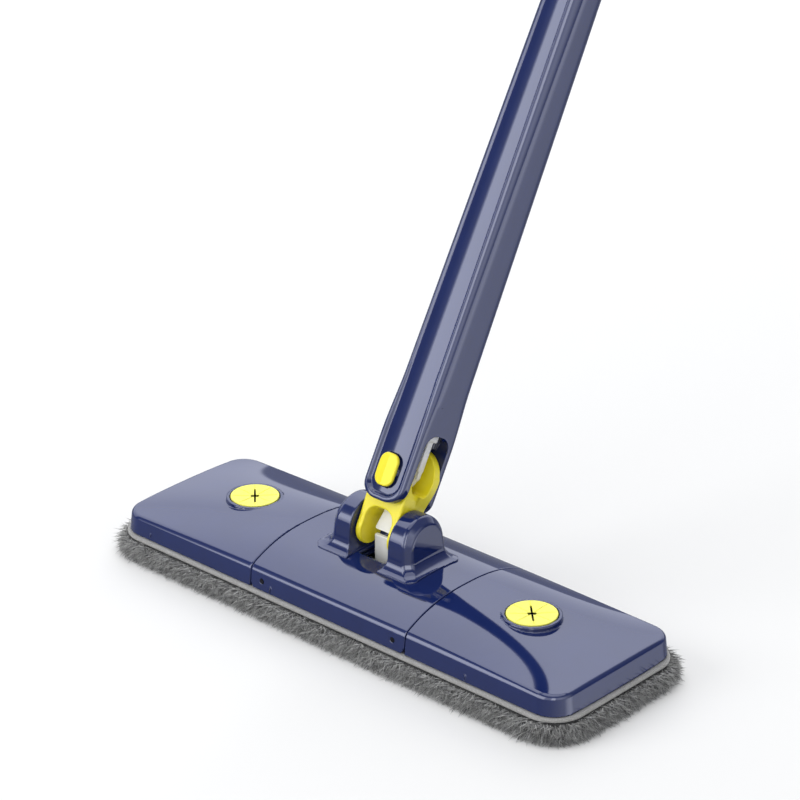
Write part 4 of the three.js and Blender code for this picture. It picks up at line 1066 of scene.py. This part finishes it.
def make_camera():
    """Looks down at the head from the front right; the aim is the floor point under the view's middle."""
    azimuth, elevation = math.radians(42.386), math.radians(24.741)
    distance = 1.9539
    aim = Vector((-0.16585, 0.19154, 0.0143))
    back = Vector((math.sin(azimuth) * math.cos(elevation), -math.cos(azimuth) * math.cos(elevation),
                   math.sin(elevation)))
    data = bpy.data.cameras.new("camera")
    data.sensor_width = 36
    data.lens = 136.78
    data.clip_end = 50
    camera = bpy.data.objects.new("camera", data)
    camera.location = aim + back * distance
    camera.rotation_euler = back.to_track_quat("Z", "Y").to_euler()
    bpy.context.scene.collection.objects.link(camera)
    bpy.context.scene.camera = camera


def softbox(name, place, aim, size, watts):
    """A large soft light that shapes the form; what gloss mirrors comes from the world instead."""
    data = bpy.data.lights.new(name, "AREA")
    data.shape = "RECTANGLE"
    data.size, data.size_y = size
    data.energy = watts
    light = bpy.data.objects.new(name, data)
    light.location = place
    direction = Vector(aim) - Vector(place)
    light.rotation_euler = direction.to_track_quat("-Z", "Y").to_euler()
    light.visible_glossy = False
    bpy.context.scene.collection.objects.link(light)


def value_ramp(nodes, links, factor, stops):
    """Brightness against a value from 0 to 1, scaled so that white in the ramp is the brightest stop."""
    peak = max(level for _, level in stops)
    color = ramp(nodes, links, factor, [(place, (level / peak,) * 3) for place, level in stops])
    return math_node(nodes, links, "MULTIPLY", color, peak)


def compass(degrees):
    """Heading round the studio as a share of the circle: 0 is the front, 90 the left, 180 the back."""
    return degrees / 360 + 0.5


def mirrored_studio(nodes, links):
    """What glossy parts mirror: a wall of light behind and left, a strip in front, and a pale ground."""
    place = nodes.new("ShaderNodeSeparateXYZ")
    links.new(nodes.new("ShaderNodeTexCoord").outputs["Generated"], place.inputs["Vector"])
    left = math_node(nodes, links, "MULTIPLY", place.outputs["X"], -1.0)
    front = math_node(nodes, links, "MULTIPLY", place.outputs["Y"], -1.0)
    angle = math_node(nodes, links, "ARCTAN2", left, front)
    heading = math_node(nodes, links, "ADD", math_node(nodes, links, "DIVIDE", angle, 2 * math.pi), 0.5)
    height = place.outputs["Z"]
    wall = math_node(
        nodes, links, "MULTIPLY",
        value_ramp(nodes, links, heading, [
            (compass(-180), 1.0), (compass(-160), 0.2), (compass(-100), 0.1), (compass(60), 0.1),
            (compass(64), 1.0), (compass(180), 1.0),
        ]),
        value_ramp(nodes, links, height, WALL_LIGHT),
    )
    strip = math_node(
        nodes, links, "MULTIPLY",
        value_ramp(nodes, links, heading, [
            (compass(-130), 0.0), (compass(-100), 0.26), (compass(-70), 0.46), (compass(-48), 0.34),
            (compass(-46), 1.1), (compass(-32), 1.1), (compass(-28), 0.4), (compass(-4), 0.4),
            (compass(0), 1.0), (compass(41.2), 1.0), (compass(42.5), 0.1), (compass(49), 0.02),
        ]),
        value_ramp(nodes, links, height, STRIP_LIGHT),
    )
    top = value_ramp(nodes, links, height, TOP_LIGHT)
    above = math_node(nodes, links, "ADD", math_node(nodes, links, "ADD", wall, strip), top)
    below = value_ramp(nodes, links, heading, [
        (compass(-180), 0.4), (compass(-163), 0.4), (compass(-150), 1.15), (compass(-125), 1.95),
        (compass(-112), 3.6), (compass(-98), 3.2), (compass(-85), 1.6), (compass(-30), 0.8),
        (compass(20), 0.5), (compass(85), 0.5), (compass(100), 0.35), (compass(180), 0.35),
    ])
    sky = math_node(nodes, links, "GREATER_THAN", height, 0.0)
    ground = math_node(nodes, links, "SUBTRACT", 1.0, sky)
    return math_node(nodes, links, "ADD", math_node(nodes, links, "MULTIPLY", above, sky),
                     math_node(nodes, links, "MULTIPLY", below, ground))


def make_world():
    """Even room light; gloss mirrors the studio instead, and the camera sees a plain backdrop."""
    world = bpy.data.worlds.new("world")
    bpy.context.scene.world = world
    world.use_nodes = True
    nodes, links = world.node_tree.nodes, world.node_tree.links
    room = nodes["Background"]
    room.inputs["Color"].default_value = ROOM_COLOR
    room.inputs["Strength"].default_value = ROOM_LIGHT
    mirrored = nodes.new("ShaderNodeBackground")
    mirrored.inputs["Color"].default_value = MIRRORED_COLOR
    links.new(mirrored_studio(nodes, links), mirrored.inputs["Strength"])
    backdrop = nodes.new("ShaderNodeBackground")
    backdrop.inputs["Color"].default_value = ROOM_COLOR
    path = nodes.new("ShaderNodeLightPath")
    glossy = nodes.new("ShaderNodeMixShader")
    links.new(path.outputs["Is Glossy Ray"], glossy.inputs["Fac"])
    links.new(room.outputs["Background"], glossy.inputs[1])
    links.new(mirrored.outputs["Background"], glossy.inputs[2])
    seen = nodes.new("ShaderNodeMixShader")
    links.new(path.outputs["Is Camera Ray"], seen.inputs["Fac"])
    links.new(glossy.outputs["Shader"], seen.inputs[1])
    links.new(backdrop.outputs["Background"], seen.inputs[2])
    links.new(seen.outputs["Shader"], nodes["World Output"].inputs["Surface"])


def make_studio():
    """A pale floor, three soft lights and the room round them."""
    corners = [(x * FLOOR_HALF, y * FLOOR_HALF, 0) for x, y in ((-1, -1), (1, -1), (1, 1), (-1, 1))]
    data = bpy.data.meshes.new("floor")
    data.from_pydata(corners, [], [(0, 1, 2, 3)])
    floor = bpy.data.objects.new("floor", data)
    material, nodes, links, shader = material_base("floor_paper")
    shader.inputs["Base Color"].default_value = (0.9, 0.9, 0.9, 1)
    shader.inputs["Roughness"].default_value = 0.9
    shader.inputs["Specular IOR Level"].default_value = 0.0
    data.materials.append(material)
    bpy.context.scene.collection.objects.link(floor)
    floor.visible_glossy = False
    make_world()
    softbox("back_box", (-1.5, 2.0, 1.9), (0, 0, 0), (2.6, 1.8), 34)
    softbox("front_left_box", (-1.3, -1.9, 1.3), (0, 0, 0.1), (1.6, 1.4), 22)
    softbox("top_box", (0.3, -0.3, 2.8), (0, 0, 0), (2.2, 2.2), 26)
    bpy.context.scene.view_settings.view_transform = "Standard"


make_camera()
make_studio()
make_shells()
make_grippers()
make_ears()
make_joint()
make_sleeve()
make_tubes()
make_collar()
make_grip()
make_pad()
